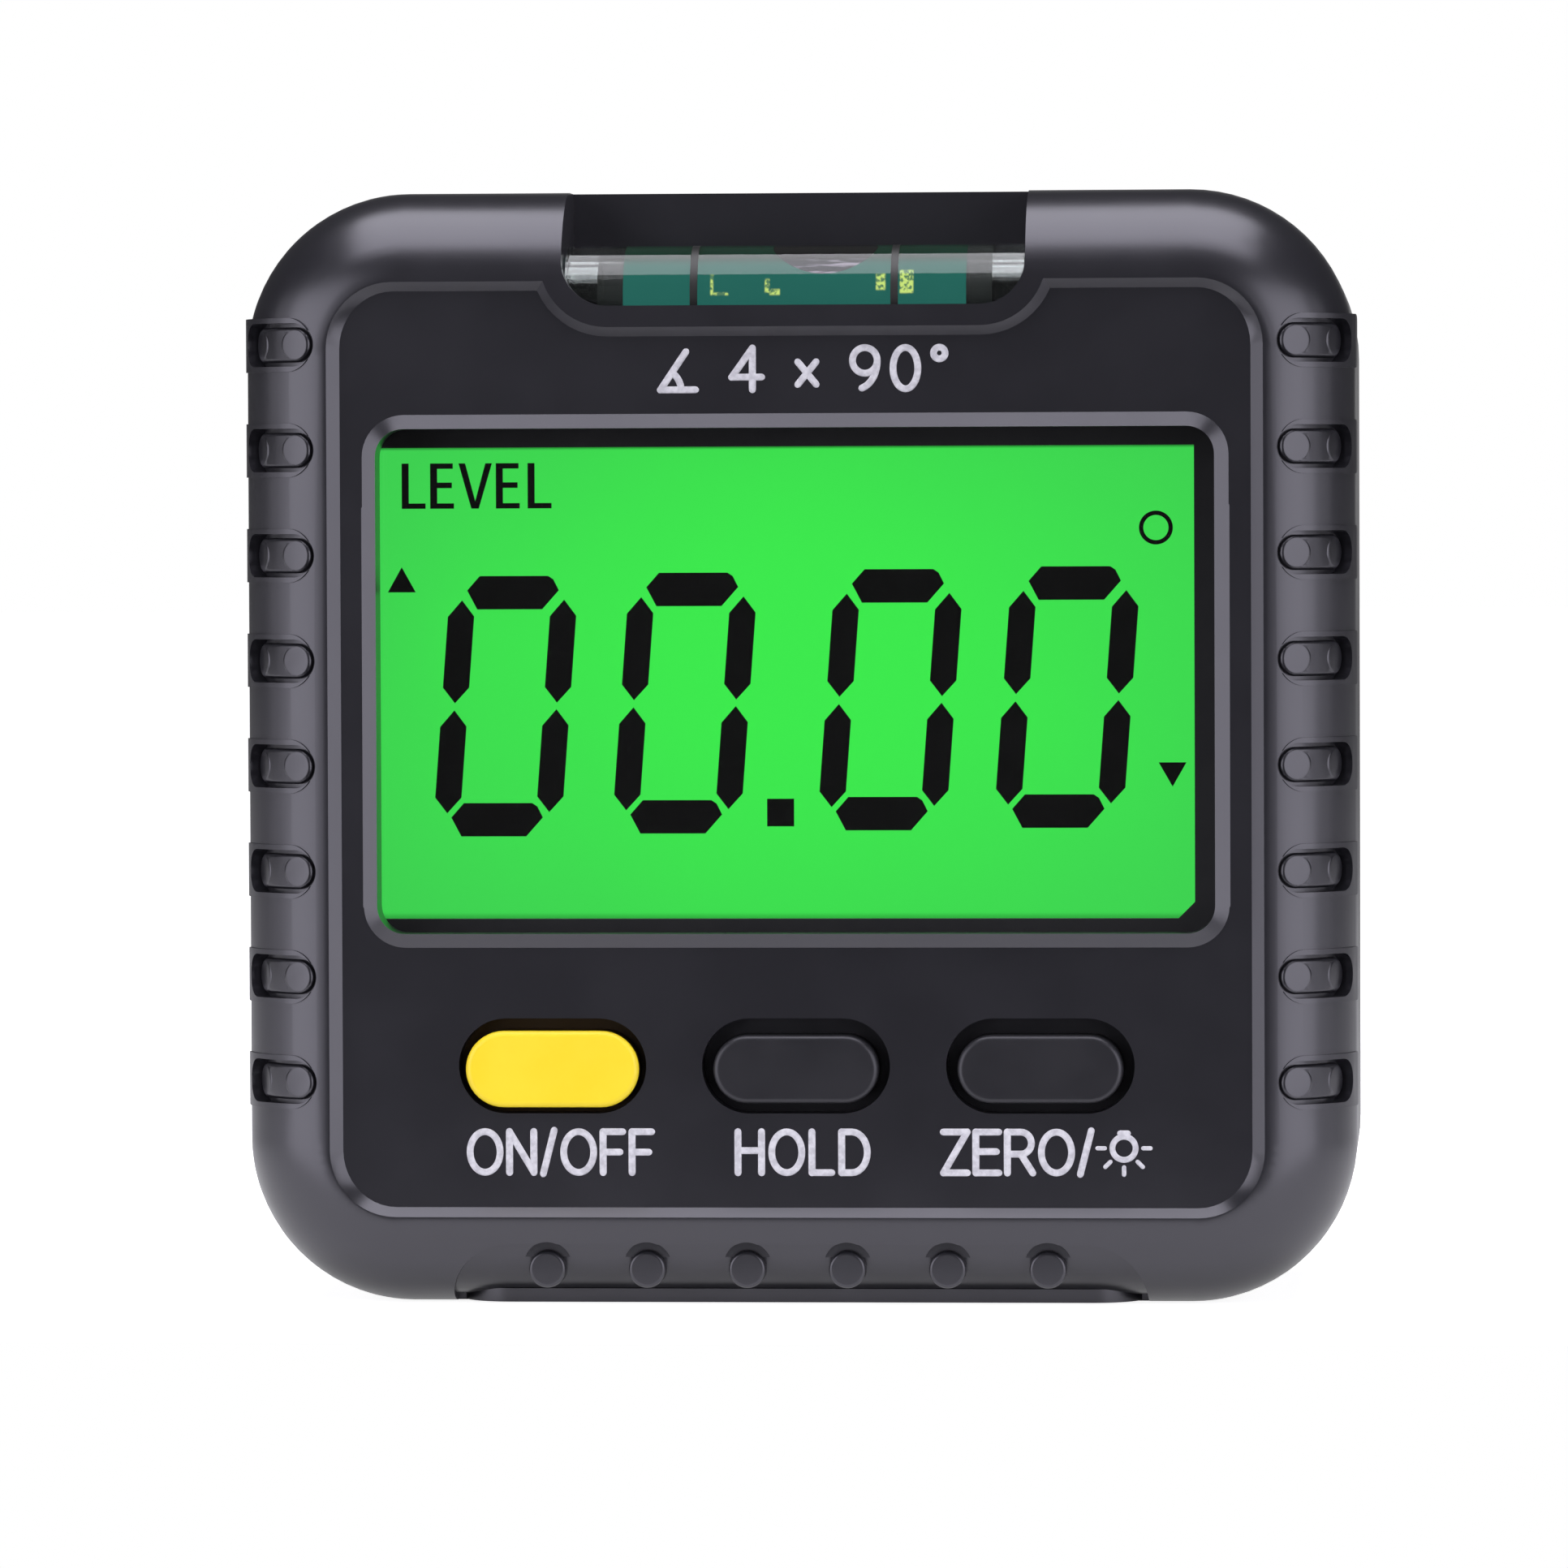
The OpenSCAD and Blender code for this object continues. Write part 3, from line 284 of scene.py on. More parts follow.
def floor_finish():
    """Nearly white to the camera, with the shadow of the part, and clear from below."""
    mat = bpy.data.materials.new("floor_white")
    mat.use_nodes = True
    tree = mat.node_tree
    body = tree.nodes["Principled BSDF"]
    body.inputs["Base Color"].default_value = (0.8, 0.8, 0.8, 1)
    body.inputs["Roughness"].default_value = 0.9
    body.inputs["Specular IOR Level"].default_value = 0.1
    far = vector_node(tree, "LENGTH", object_place(tree))
    glow = tree.nodes.new("ShaderNodeEmission")
    tree.links.new(remap(tree, far, *GLOW_REACH, *GLOW_STRENGTH), glow.inputs["Strength"])
    lit = tree.nodes.new("ShaderNodeAddShader")
    tree.links.new(body.outputs["BSDF"], lit.inputs[0])
    tree.links.new(glow.outputs["Emission"], lit.inputs[1])
    share = remap(tree, far, *MIRRORED_REACH, *MIRRORED_SHARE)
    above = mix_shader(
        tree, seen_white(tree, share), body.outputs["BSDF"], lit.outputs["Shader"])
    under = tree.nodes.new("ShaderNodeNewGeometry")
    clear = tree.nodes.new("ShaderNodeBsdfTransparent")
    either = mix_shader(tree, under.outputs["Backfacing"], above, clear.outputs["BSDF"])
    tree.links.new(either, tree.nodes["Material Output"].inputs["Surface"])
    return mat


def add_floor():
    bpy.ops.mesh.primitive_plane_add(
        size=FLOOR_SIDE, location=(0, FLOOR_SIDE / 2 + FLOOR_FRONT, -FLOOR_DROP))
    floor = bpy.context.object
    floor.name = "floor"
    bpy.ops.object.transform_apply(location=True)
    bpy.ops.object.mode_set(mode="EDIT")
    bpy.ops.mesh.subdivide(number_cuts=FLOOR_CUTS)
    bpy.ops.object.mode_set(mode="OBJECT")
    floor.data.materials.append(floor_finish())
    floor.select_set(False)


def add_lamps():
    """Each side has a wide dim lamp and a narrow bright one, which together have soft edges."""
    for side in (-1, 1):
        add_softbox(
            f"wide_strip_{side}", azimuth=side * 58, elevation=4, distance=0.6,
            width=0.95, height=0.6, radiance=0.82)
        add_softbox(
            f"core_strip_{side}", azimuth=side * 51, elevation=4, distance=0.59,
            width=0.48, height=0.6, radiance=1.82)
    add_softbox(
        "overhead", azimuth=0, elevation=81, distance=0.45, width=0.5, height=0.47, radiance=3.9)


add_camera()
add_world()
add_floor()
add_lamps()
bpy.context.scene.view_settings.view_transform = "Standard"


# Finishes

def group_start(name, inputs, outputs):
    """Empty shader node group with its sockets."""
    tree = bpy.data.node_groups.new(name, "ShaderNodeTree")
    for label, kind, value in inputs:
        socket = tree.interface.new_socket(label, in_out="INPUT", socket_type=kind)
        if value is not None:
            socket.default_value = value
    for label, kind in outputs:
        tree.interface.new_socket(label, in_out="OUTPUT", socket_type=kind)
    return tree, tree.nodes.new("NodeGroupInput"), tree.nodes.new("NodeGroupOutput")


def make_grain_group():
    """Fine texture of a moulded or brushed surface: a height, and a slow mottle."""
    tree, get, put = group_start(
        "surface_grain",
        (("Vector", "NodeSocketVector", None),
         ("Fine Scale", "NodeSocketFloat", 6000.0),
         ("Slow Scale", "NodeSocketFloat", 120.0)),
        (("Height", "NodeSocketFloat"), ("Mottle", "NodeSocketFloat")))
    fine = noise(tree, get.outputs["Vector"], get.outputs["Fine Scale"], 2.0)
    slow = noise(tree, get.outputs["Vector"], get.outputs["Slow Scale"], 5.0, 0.6)
    tree.links.new(remap(tree, fine, 0.3, 0.7, 0, 1), put.inputs["Height"])
    tree.links.new(remap(tree, slow, 0.32, 0.68, 0, 1, True), put.inputs["Mottle"])
    return tree


GRAIN = make_grain_group()


def start_material(name, **sockets):
    """Material with plain values set on the sockets of its Principled shader."""
    mat = bpy.data.materials.new(name)
    mat.use_nodes = True
    body = mat.node_tree.nodes["Principled BSDF"]
    for label, value in sockets.items():
        socket = body.inputs[label.replace("_", " ")]
        socket.default_value = value
    return mat, mat.node_tree, body


BUMP_DEPTH = 0.01


def grained_finish(name, light, dark, rough, fine, slow, bump, **sockets):
    """Solid finish with grain: two close colours, a range of roughness and a fine bump."""
    mat, tree, body = start_material(name, **sockets)
    grain = tree.nodes.new("ShaderNodeGroup")
    grain.node_tree = GRAIN
    tree.links.new(object_place(tree), grain.inputs["Vector"])
    grain.inputs["Fine Scale"].default_value = fine
    grain.inputs["Slow Scale"].default_value = slow
    mottle = grain.outputs["Mottle"]
    tree.links.new(mix_colour(tree, mottle, dark, light), body.inputs["Base Color"])
    tree.links.new(remap(tree, mottle, 0, 1, *rough), body.inputs["Roughness"])
    lift = tree.nodes.new("ShaderNodeBump")
    lift.inputs["Strength"].default_value = bump
    lift.inputs["Distance"].default_value = BUMP_DEPTH * MM
    tree.links.new(grain.outputs["Height"], lift.inputs["Height"])
    tree.links.new(lift.outputs["Normal"], body.inputs["Normal"])
    return mat


# Painted shade darkens the lower sides of a key inside its well over this range of depth, measured
# from the panel.
WELL_SHADE_START = -0.12
WELL_SHADE_END = 0.2


def key_finish(name, light, dark, well_shade):
    """Moulded key, with painted shade on its lower sides inside the well."""
    mat = grained_finish(
        name, light, dark, rough=(0.36, 0.44), fine=7000, slow=300, bump=0.05,
        Specular_IOR_Level=0.4)
    tree = mat.node_tree
    body = tree.nodes["Principled BSDF"]
    face = body.inputs["Base Color"].links[0].from_socket
    # Painted shade: the key turns dark brown with depth in the well.
    start = (PANEL_FACE_Y + WELL_SHADE_START) * MM
    end = (PANEL_FACE_Y + WELL_SHADE_END) * MM
    inside = remap(tree, split_place(tree)["Y"], start, end, 0, 1, True)
    tree.links.new(mix_colour(tree, inside, face, well_shade), body.inputs["Base Color"])
    return mat


ACRYLIC_IOR = 1.49


def clear_finish(name, colour, rough):
    """Clear polished plastic with faint handling marks in its gloss."""
    mat, tree, body = start_material(
        name, Base_Color=colour, IOR=ACRYLIC_IOR, Transmission_Weight=1.0)
    marks = noise(tree, object_place(tree), 900.0, 3.0)
    tree.links.new(remap(tree, marks, 0.3, 0.7, *rough), body.inputs["Roughness"])
    return mat


# The lit area of the display, and how far in from its low and high edges the shadow of the frame is
# painted, in millimetres.
LIT_LOW = 18.71
LIT_HIGH = 41.61
LIT_LOW_SHADE = 0.35
LIT_HIGH_SHADE = 0.16
# The glow fades over an oval with these half axes round this middle, in metres.
GLOW_MIDDLE_Z = 0.031
GLOW_HALF_W = 0.030
GLOW_HALF_H = 0.020
GLOW_DRIFT = 0.25


def glowing_material(name, colour, rough):
    """Material that gives its own light and reflects hardly any."""
    return start_material(
        name, Base_Color=colour + (1.0,), Roughness=rough, Specular_IOR_Level=0.0,
        Emission_Strength=1.0)


def lcd_finish():
    """Lit display: green, brightest in the middle, dimmer along the edges, with painted shadow of the
    frame along the top and bottom.
    """
    mat, tree, body = glowing_material("lcd_green", (0.004, 0.03, 0.006), 0.5)
    place = object_place(tree)
    shift = tree.nodes.new("ShaderNodeMapping")
    shift.inputs["Location"].default_value = (0.0, 0.0, -GLOW_MIDDLE_Z)
    tree.links.new(place, shift.inputs["Vector"])
    oval_place = vector_node(
        tree, "MULTIPLY", shift.outputs["Vector"], (1 / GLOW_HALF_W, 0.0, 1 / GLOW_HALF_H))
    far = vector_node(tree, "LENGTH", oval_place)
    spread = math_node(tree, "MULTIPLY_ADD", noise(tree, place, 70.0, 2.0), GLOW_DRIFT, far)
    fade = remap(tree, spread, 0.25, 1.15, 0, 1, True)
    glow = mix_colour(tree, fade, (0.046, 0.87, 0.075), (0.050, 0.66, 0.086))
    # Painted shadow of the frame along the low and high edges of the lit area.
    z = split_place(tree)["Z"]
    low = remap(tree, z, LIT_LOW * MM, (LIT_LOW + LIT_LOW_SHADE) * MM, 0.45, 0, True)
    high = remap(tree, z, (LIT_HIGH - LIT_HIGH_SHADE) * MM, LIT_HIGH * MM, 0, 0.7, True)
    shade = math_node(tree, "MAXIMUM", low, high)
    glow = mix_colour(tree, shade, glow, (0.004, 0.06, 0.008))
    tree.links.new(glow, body.inputs["Emission Color"])
    return mat


# Painted glints in the liquid: left, right, low and high edge in millimetres.
GLINTS = (
    (-4.06, -3.93, 48.9, 49.8),
    (-3.93, -3.2, 48.9, 49.0),
    (-1.42, -1.2, 49.0, 49.6),
    (-1.2, -0.7, 48.9, 49.15),
    (3.95, 4.4, 49.1, 49.8),
    (5.1, 5.75, 48.95, 49.95),
)
GLINT_SOFT_X = 0.05
GLINT_SOFT_Z = 0.06
# Heights above the axis of the vial where painted shade darkens the top of the liquid and of the
# bubble.
LIQUID_PAINTED_SHADE = (1.35, 1.75)
BUBBLE_PAINTED_SHADE = (1.45, 1.7)
BUBBLE_STRETCH = (0.16, 1.0, 1.0)


def above_axis(tree, heights, to_low, to_high):
    """Soft change between two heights above the axis of the vial."""
    low, high = ((VIAL_Z + height) * MM for height in heights)
    return remap(tree, split_place(tree)["Z"], low, high, to_low, to_high, True)


def liquid_finish():
    """Teal liquid drawn as painted light: it glows, with painted shade towards the top and a few
    painted glints.
    """
    mat, tree, body = glowing_material("vial_green", (0.003, 0.015, 0.012), 0.3)
    place = split_place(tree)
    drift = noise(tree, object_place(tree), 260.0, 2.0)
    # Painted light: the teal of the liquid is its own glow, not lit by the lamps.
    tone = mix_colour(tree, drift, (0.014, 0.110, 0.089), (0.019, 0.126, 0.103))
    # Painted shade over the top of the liquid.
    top = above_axis(tree, LIQUID_PAINTED_SHADE, 0, 1)
    tone = mix_colour(tree, top, tone, (0.010, 0.022, 0.012))
    # Painted glints: yellow-green patches, broken up by fine noise.
    glint_mask = None
    for left, right, low, high in GLINTS:
        wide = between(tree, place["X"], left, right, GLINT_SOFT_X)
        tall = between(tree, place["Z"], low, high, GLINT_SOFT_Z)
        one_glint = math_node(tree, "MULTIPLY", wide, tall)
        glint_mask = one_glint if glint_mask is None else math_node(tree, "MAXIMUM", glint_mask, one_glint)
    speckle = noise(tree, object_place(tree), 5200.0, 2.0)
    glint_mask = math_node(tree, "MULTIPLY", glint_mask, remap(tree, speckle, 0.4, 0.55, 0.15, 1))
    tone = mix_colour(tree, glint_mask, tone, (0.62, 0.80, 0.20))
    tree.links.new(tone, body.inputs["Emission Color"])
    return mat


def bubble_finish():
    """Skin of the bubble, all painted light: painted shade above, pale broken streaks of painted
    reflection lower down.
    """
    mat, tree, body = glowing_material("bubble_painted_light", (0.004, 0.004, 0.005), 0.3)
    streaky = vector_node(tree, "MULTIPLY", object_place(tree), BUBBLE_STRETCH)
    pale = remap(tree, noise(tree, streaky, 4200.0, 2.0), 0.5, 0.66, 0, 1, True)
    # Painted shade on the upper bubble.
    low = above_axis(tree, BUBBLE_PAINTED_SHADE, 1, 0)
    pale = math_node(tree, "MULTIPLY", pale, low)
    tone = mix_colour(tree, low, (0.012, 0.012, 0.011), (0.035, 0.036, 0.045))
    # Painted reflection: pale lilac streaks.
    tone = mix_colour(tree, pale, tone, (0.34, 0.30, 0.38))
    tree.links.new(tone, body.inputs["Emission Color"])
    return mat


# The band of a cell starts this far from the middle, and its edge is this soft.
CELL_BAND_X = 11.8
CELL_BAND_SOFT = 0.1
CELL_SPLIT_Z = (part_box("upper_cell")[0].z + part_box("lower_cell")[1].z) / 2


def cell_finish():
    """Plain slate jacket with a pale band at the nub end, which is the other end on the other cell."""
    mat, tree, body = start_material("cell_jacket", Roughness=0.34, Metallic=0.4)
    place = split_place(tree)
    upper = math_node(tree, "GREATER_THAN", place["Z"], CELL_SPLIT_Z)
    way = remap(tree, upper, 0, 1, -1, 1)
    along = math_node(tree, "MULTIPLY", place["X"], way)
    band = remap(tree, along, CELL_BAND_X * MM, (CELL_BAND_X + CELL_BAND_SOFT) * MM, 0, 1)
    wear = noise(tree, object_place(tree), 700.0, 3.0)
    slate = mix_colour(tree, wear, (0.085, 0.10, 0.13), (0.11, 0.13, 0.16))
    tone = mix_colour(tree, band, slate, (0.50, 0.51, 0.53))
    tree.links.new(tone, body.inputs["Base Color"])
    return mat


def board_finish():
    """Solder mask with fine tracks."""
    mat, tree, body = start_material("board_green", Roughness=0.35)
    tracks = tree.nodes.new("ShaderNodeTexBrick")
    tracks.inputs["Scale"].default_value = 260.0
    tracks.inputs["Color1"].default_value = (0.018, 0.14, 0.055, 1)
    tracks.inputs["Color2"].default_value = (0.014, 0.11, 0.045, 1)
    tracks.inputs["Mortar"].default_value = (0.03, 0.21, 0.09, 1)
    turn = tree.nodes.new("ShaderNodeMapping")
    turn.inputs["Rotation"].default_value = (math.radians(90), 0, 0)
    tree.links.new(object_place(tree), turn.inputs["Vector"])
    tree.links.new(turn.outputs["Vector"], tracks.inputs["Vector"])
    tree.links.new(tracks.outputs["Color"], body.inputs["Base Color"])
    return mat


PLASTIC_TINT = (0.92, 0.90, 1.0, 1)
# Moulded, printed and metal finishes: two close colours, roughness, and scales of the grain.
GRAINED = {
    "case_charcoal": dict(
        light=(0.0130, 0.0127, 0.0160), dark=(0.0120, 0.0117, 0.0147), rough=(0.28, 0.31),
        fine=5200, slow=160, bump=0.05, Specular_IOR_Level=0.85, Specular_Tint=PLASTIC_TINT),
    "key_dark": dict(
        light=(0.0165, 0.0162, 0.019), dark=(0.015, 0.0148, 0.0175), rough=(0.34, 0.4),
        fine=7000, slow=300, bump=0.04, Specular_IOR_Level=0.5, Specular_Tint=PLASTIC_TINT),
    "gasket_black": dict(
        light=(0.075, 0.075, 0.082), dark=(0.062, 0.062, 0.070), rough=(0.75, 0.85),
        fine=3500, slow=400, bump=0.3),
    "backlight_white": dict(
        light=(0.85, 0.9, 0.84), dark=(0.8, 0.86, 0.8), rough=(0.35, 0.45),
        fine=2500, slow=200, bump=0.05),
    "strip_pink": dict(
        light=(0.65, 0.35, 0.4), dark=(0.58, 0.3, 0.35), rough=(0.55, 0.65),
        fine=2500, slow=200, bump=0.1),
    "chip_black": dict(
        light=(0.022, 0.022, 0.024), dark=(0.017, 0.017, 0.019), rough=(0.5, 0.6),
        fine=6000, slow=300, bump=0.2),
    "component_tan": dict(
        light=(0.5, 0.38, 0.24), dark=(0.44, 0.33, 0.2), rough=(0.45, 0.55),
        fine=4000, slow=500, bump=0.1),
    "plunger_white": dict(
        light=(0.62, 0.62, 0.58), dark=(0.57, 0.57, 0.53), rough=(0.4, 0.5),
        fine=4000, slow=300, bump=0.05),
    "plug_dark": dict(
        light=(0.012, 0.017, 0.014), dark=(0.008, 0.012, 0.01), rough=(0.5, 0.6),
        fine=4000, slow=400, bump=0.1),
    "ring_black": dict(
        light=(0.012, 0.012, 0.012), dark=(0.008, 0.008, 0.008), rough=(0.4, 0.5),
        fine=4000, slow=400, bump=0.05),
    "magnet_nickel": dict(
        light=(0.64, 0.63, 0.61), dark=(0.56, 0.55, 0.53), rough=(0.2, 0.34),
        fine=3000, slow=350, bump=0.04, Metallic=1.0),
    "contact_nickel": dict(
        light=(0.66, 0.65, 0.61), dark=(0.58, 0.57, 0.53), rough=(0.24, 0.38),
        fine=3000, slow=350, bump=0.04, Metallic=1.0),
    "screw_steel": dict(
        light=(0.5, 0.5, 0.51), dark=(0.42, 0.42, 0.43), rough=(0.28, 0.42),
        fine=3000, slow=450, bump=0.06, Metallic=1.0),
    "lcd_ink": dict(
        light=(0.0052, 0.0047, 0.0052), dark=(0.0042, 0.0040, 0.0042), rough=(0.6, 0.7),
        fine=4000, slow=300, bump=0.02, Specular_IOR_Level=0.0),
    "label_silver": dict(
        light=(0.70, 0.69, 0.74), dark=(0.50, 0.49, 0.54), rough=(0.5, 0.6),
        fine=9000, slow=2600, bump=0.06, Specular_IOR_Level=0.3),
}
FINISHES = {name: grained_finish(name, **values) for name, values in GRAINED.items()}
FINISHES["key_yellow"] = key_finish(
    "key_yellow", light=(0.94, 0.72, 0.030), dark=(0.92, 0.69, 0.025), well_shade=(0.045, 0.022, 0.001))
FINISHES["window_clear"] = clear_finish("window_clear", (0.97, 0.98, 0.98, 1), (0.01, 0.03))
FINISHES["vial_clear"] = clear_finish("vial_clear", (0.95, 0.98, 0.97, 1), (0.01, 0.025))
FINISHES["lcd_green"] = lcd_finish()
FINISHES["vial_green"] = liquid_finish()
FINISHES["bubble_painted_light"] = bubble_finish()
FINISHES["cell_jacket"] = cell_finish()
FINISHES["board_green"] = board_finish()

for node in nodes.values():
    for slot in node.material_slots:
        slot.material = FINISHES[slot.material.name.split(".")[0]]

# Light passes through the clear pieces without a shadow.
for name in ("display_window", "vial_tube", "vial_end_caps"):
    nodes[name].visible_shadow = False


# Modelling tools

MARK_SINK = 0.01


def only(piece):
    """Makes one piece the selected and active one."""
    bpy.ops.object.select_all(action="DESELECT")
    bpy.context.view_layer.objects.active = piece
    piece.select_set(True)


def settle(piece, finish):
    """Gives a new piece of the case its finish."""
    piece.data.materials.clear()
    piece.data.materials.append(FINISHES[finish])
    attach(piece, "case")
    piece.select_set(False)


def plate(name, points, face_y, rise):
    """Flat plate that stands on a face; its corners are x and z in millimetres."""
    bpy.ops.object.select_all(action="DESELECT")
    bpy.ops.mesh.primitive_circle_add(
        vertices=len(points), radius=MM, fill_type="NGON",
        location=(0, (face_y + MARK_SINK) * MM, 0), rotation=(math.radians(90), 0, 0))
    piece = bpy.context.object
    piece.name = name
    bpy.ops.object.transform_apply(location=True, rotation=True)
    bpy.ops.object.mode_set(mode="EDIT")
    bpy.ops.mesh.select_mode(type="VERT")
    mesh = bmesh.from_edit_mesh(piece.data)
    for index, (x, z) in enumerate(points):
        bpy.ops.mesh.select_all(action="DESELECT")
        mesh.verts.ensure_lookup_table()
        corner = mesh.verts[index]
        corner.select_set(True)
        bpy.ops.transform.translate(value=(x * MM - corner.co.x, 0, z * MM - corner.co.z))
    bpy.ops.mesh.select_all(action="SELECT")
    bpy.ops.mesh.extrude_region_move(
        TRANSFORM_OT_translate={"value": (0, -(rise + MARK_SINK) * MM, 0)})
    bpy.ops.mesh.select_all(action="SELECT")
    bpy.ops.mesh.normals_make_consistent(inside=False)
    bpy.ops.object.mode_set(mode="OBJECT")
    return piece


def joined(name, pieces):
    bpy.ops.object.select_all(action="DESELECT")
    for piece in pieces:
        piece.select_set(True)
    bpy.context.view_layer.objects.active = pieces[0]
    if len(pieces) > 1:
        bpy.ops.object.join()
    pieces[0].name = name
    return pieces[0]


def copied(piece, name, x, z):
    """Copy with its own mesh, moved within the mesh."""
    only(piece)
    bpy.ops.object.duplicate()
    twin = bpy.context.object
    twin.name = name
    bpy.ops.object.mode_set(mode="EDIT")
    bpy.ops.mesh.select_all(action="SELECT")
    bpy.ops.transform.translate(value=(x * MM, 0, z * MM))
    bpy.ops.object.mode_set(mode="OBJECT")
    return twin


END_STEPS = (85, 60, 30)


def with_round_ends(points, width):
    """Points with radius factors; both ends are drawn out to half circles."""
    def end(tip, inner):
        away = (Vector(tip) - Vector(inner)).normalized() * width / 2
        return [
            (*(Vector(tip) + away * math.sin(math.radians(a))), math.cos(math.radians(a)))
            for a in END_STEPS]
    middle = [(x, z, 1.0) for x, z in points]
    return end(points[0], points[1]) + middle + end(points[-1], points[-2])[::-1]


def strokes(name, paths, width, face_y, rise):
    """Printed lines: round bars along the paths, flattened onto a face."""
    bpy.ops.object.select_all(action="DESELECT")
    bpy.ops.curve.primitive_nurbs_path_add(radius=MM)
    piece = bpy.context.object
    piece.name = name
    curve = piece.data
    curve.splines.clear()
    curve.bevel_depth = width / 2 * MM
    curve.bevel_resolution = 3
    curve.use_fill_caps = True
    for path in paths:
        closed = path[0] == path[-1]
        points = [(x, z, 1.0) for x, z in path[:-1]] if closed else with_round_ends(path, width)
        spline = curve.splines.new("POLY")
        spline.points.add(len(points) - 1)
        spline.use_cyclic_u = closed
        for point, (x, z, radius) in zip(spline.points, points):
            point.co = (x * MM, 0, z * MM, 1)
            point.radius = radius
    bpy.ops.object.convert(target="MESH")
    piece = bpy.context.object
    bpy.ops.object.mode_set(mode="EDIT")
    bpy.ops.mesh.select_all(action="SELECT")
    bpy.ops.transform.resize(value=(1, 2 * rise / width, 1), center_override=(0, 0, 0))
    bpy.ops.transform.translate(value=(0, face_y * MM, 0))
    bpy.ops.mesh.normals_make_consistent(inside=False)
    bpy.ops.object.mode_set(mode="OBJECT")
    return piece


def bow(x, z, half_w, half_h, start, end, steps=14):
    """Points along part of an oval, angles in degrees from the right, turning left."""
    turns = [math.radians(start + (end - start) * i / steps) for i in range(steps + 1)]
    return [(x + half_w * math.cos(a), z + half_h * math.sin(a)) for a in turns]


def oval(x, z, half_w, half_h, steps=40):
    loop = bow(x, z, half_w, half_h, 0, 360, steps)
    return loop[:-1] + [loop[0]]


# Front shell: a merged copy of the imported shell, with even faces on its round edges.

SHELL_CREASE = 24
MERGE_REACH = 0.00001
RIB_LOWEST = 10.9
RIB_PITCH = 5.1
RIB_REACH = 1.3
RIB_GAPS = 7
GAP_TURN = (29.0, 81.0)
BEZEL_X = 22.0
BEZEL_Y = -7.07
BEZEL_R = 5.0
FRAME_FOOT_X = 20.97
LEDGE_X = 21.17
LEDGE_Y = -11.70
LEDGE_ENDS = ((19.6, 19.4), (38.5, 38.7))
PANEL_EDGE_X = 22.15
PANEL_CORNER_X = 19.4
PANEL_CORNER_R = 2.75
PANEL_CORNERS_Z = (7.6, 46.4)
PANEL_EDGE_PULL = 0.15
NEAR = 0.012


def pick(mesh, test):
    """Selects the corners that pass a test on their place in millimetres."""
    bpy.ops.mesh.select_all(action="DESELECT")
    for corner in mesh.verts:
        if test(*(corner.co / MM)):
            corner.select_set(True)
    mesh.select_flush_mode()


def in_gap(side, low, high, place):
    """True on the round edge of one side, between two heights."""
    x, y, z = place / MM
    out = x * side - BEZEL_X
    ahead = BEZEL_Y - y
    if out < 0 or abs(math.hypot(out, ahead) - BEZEL_R) > NEAR:
        return False
    turn = math.degrees(math.atan2(out, ahead))
    return GAP_TURN[0] < turn < GAP_TURN[1] and low - NEAR < z < high + NEAR


def even_gap(shell, side, low, high):
    """Lays even quads on the round edge between two grip ribs."""
    mesh = bmesh.from_edit_mesh(shell.data)
    bpy.ops.mesh.select_all(action="DESELECT")
    inside = {corner for corner in mesh.verts if in_gap(side, low, high, corner.co)}
    for face in mesh.faces:
        if inside.issuperset(face.verts):
            face.select_set(True)
    bpy.ops.mesh.delete(type="FACE")
    mesh = bmesh.from_edit_mesh(shell.data)
    bpy.ops.mesh.select_all(action="DESELECT")
    for edge in mesh.edges:
        if all(in_gap(side, low, high, corner.co) for corner in edge.verts):
            for height in (low, high):
                if all(abs(corner.co.z / MM - height) < NEAR for corner in edge.verts):
                    edge.select_set(True)
    bpy.ops.mesh.bridge_edge_loops()


def on_panel_edge(x, y, z):
    """True on the edge of the panel along its sides and round its corners."""
    if abs(y - PANEL_FACE_Y) > NEAR or abs(x) < PANEL_CORNER_X + NEAR:
        return False
    low, high = PANEL_CORNERS_Z
    if low <= z <= high:
        return abs(abs(x) - PANEL_EDGE_X) < NEAR
    centre = low if z < low else high
    reach = math.hypot(abs(x) - PANEL_CORNER_X, z - centre)
    return abs(reach - PANEL_CORNER_R) < NEAR


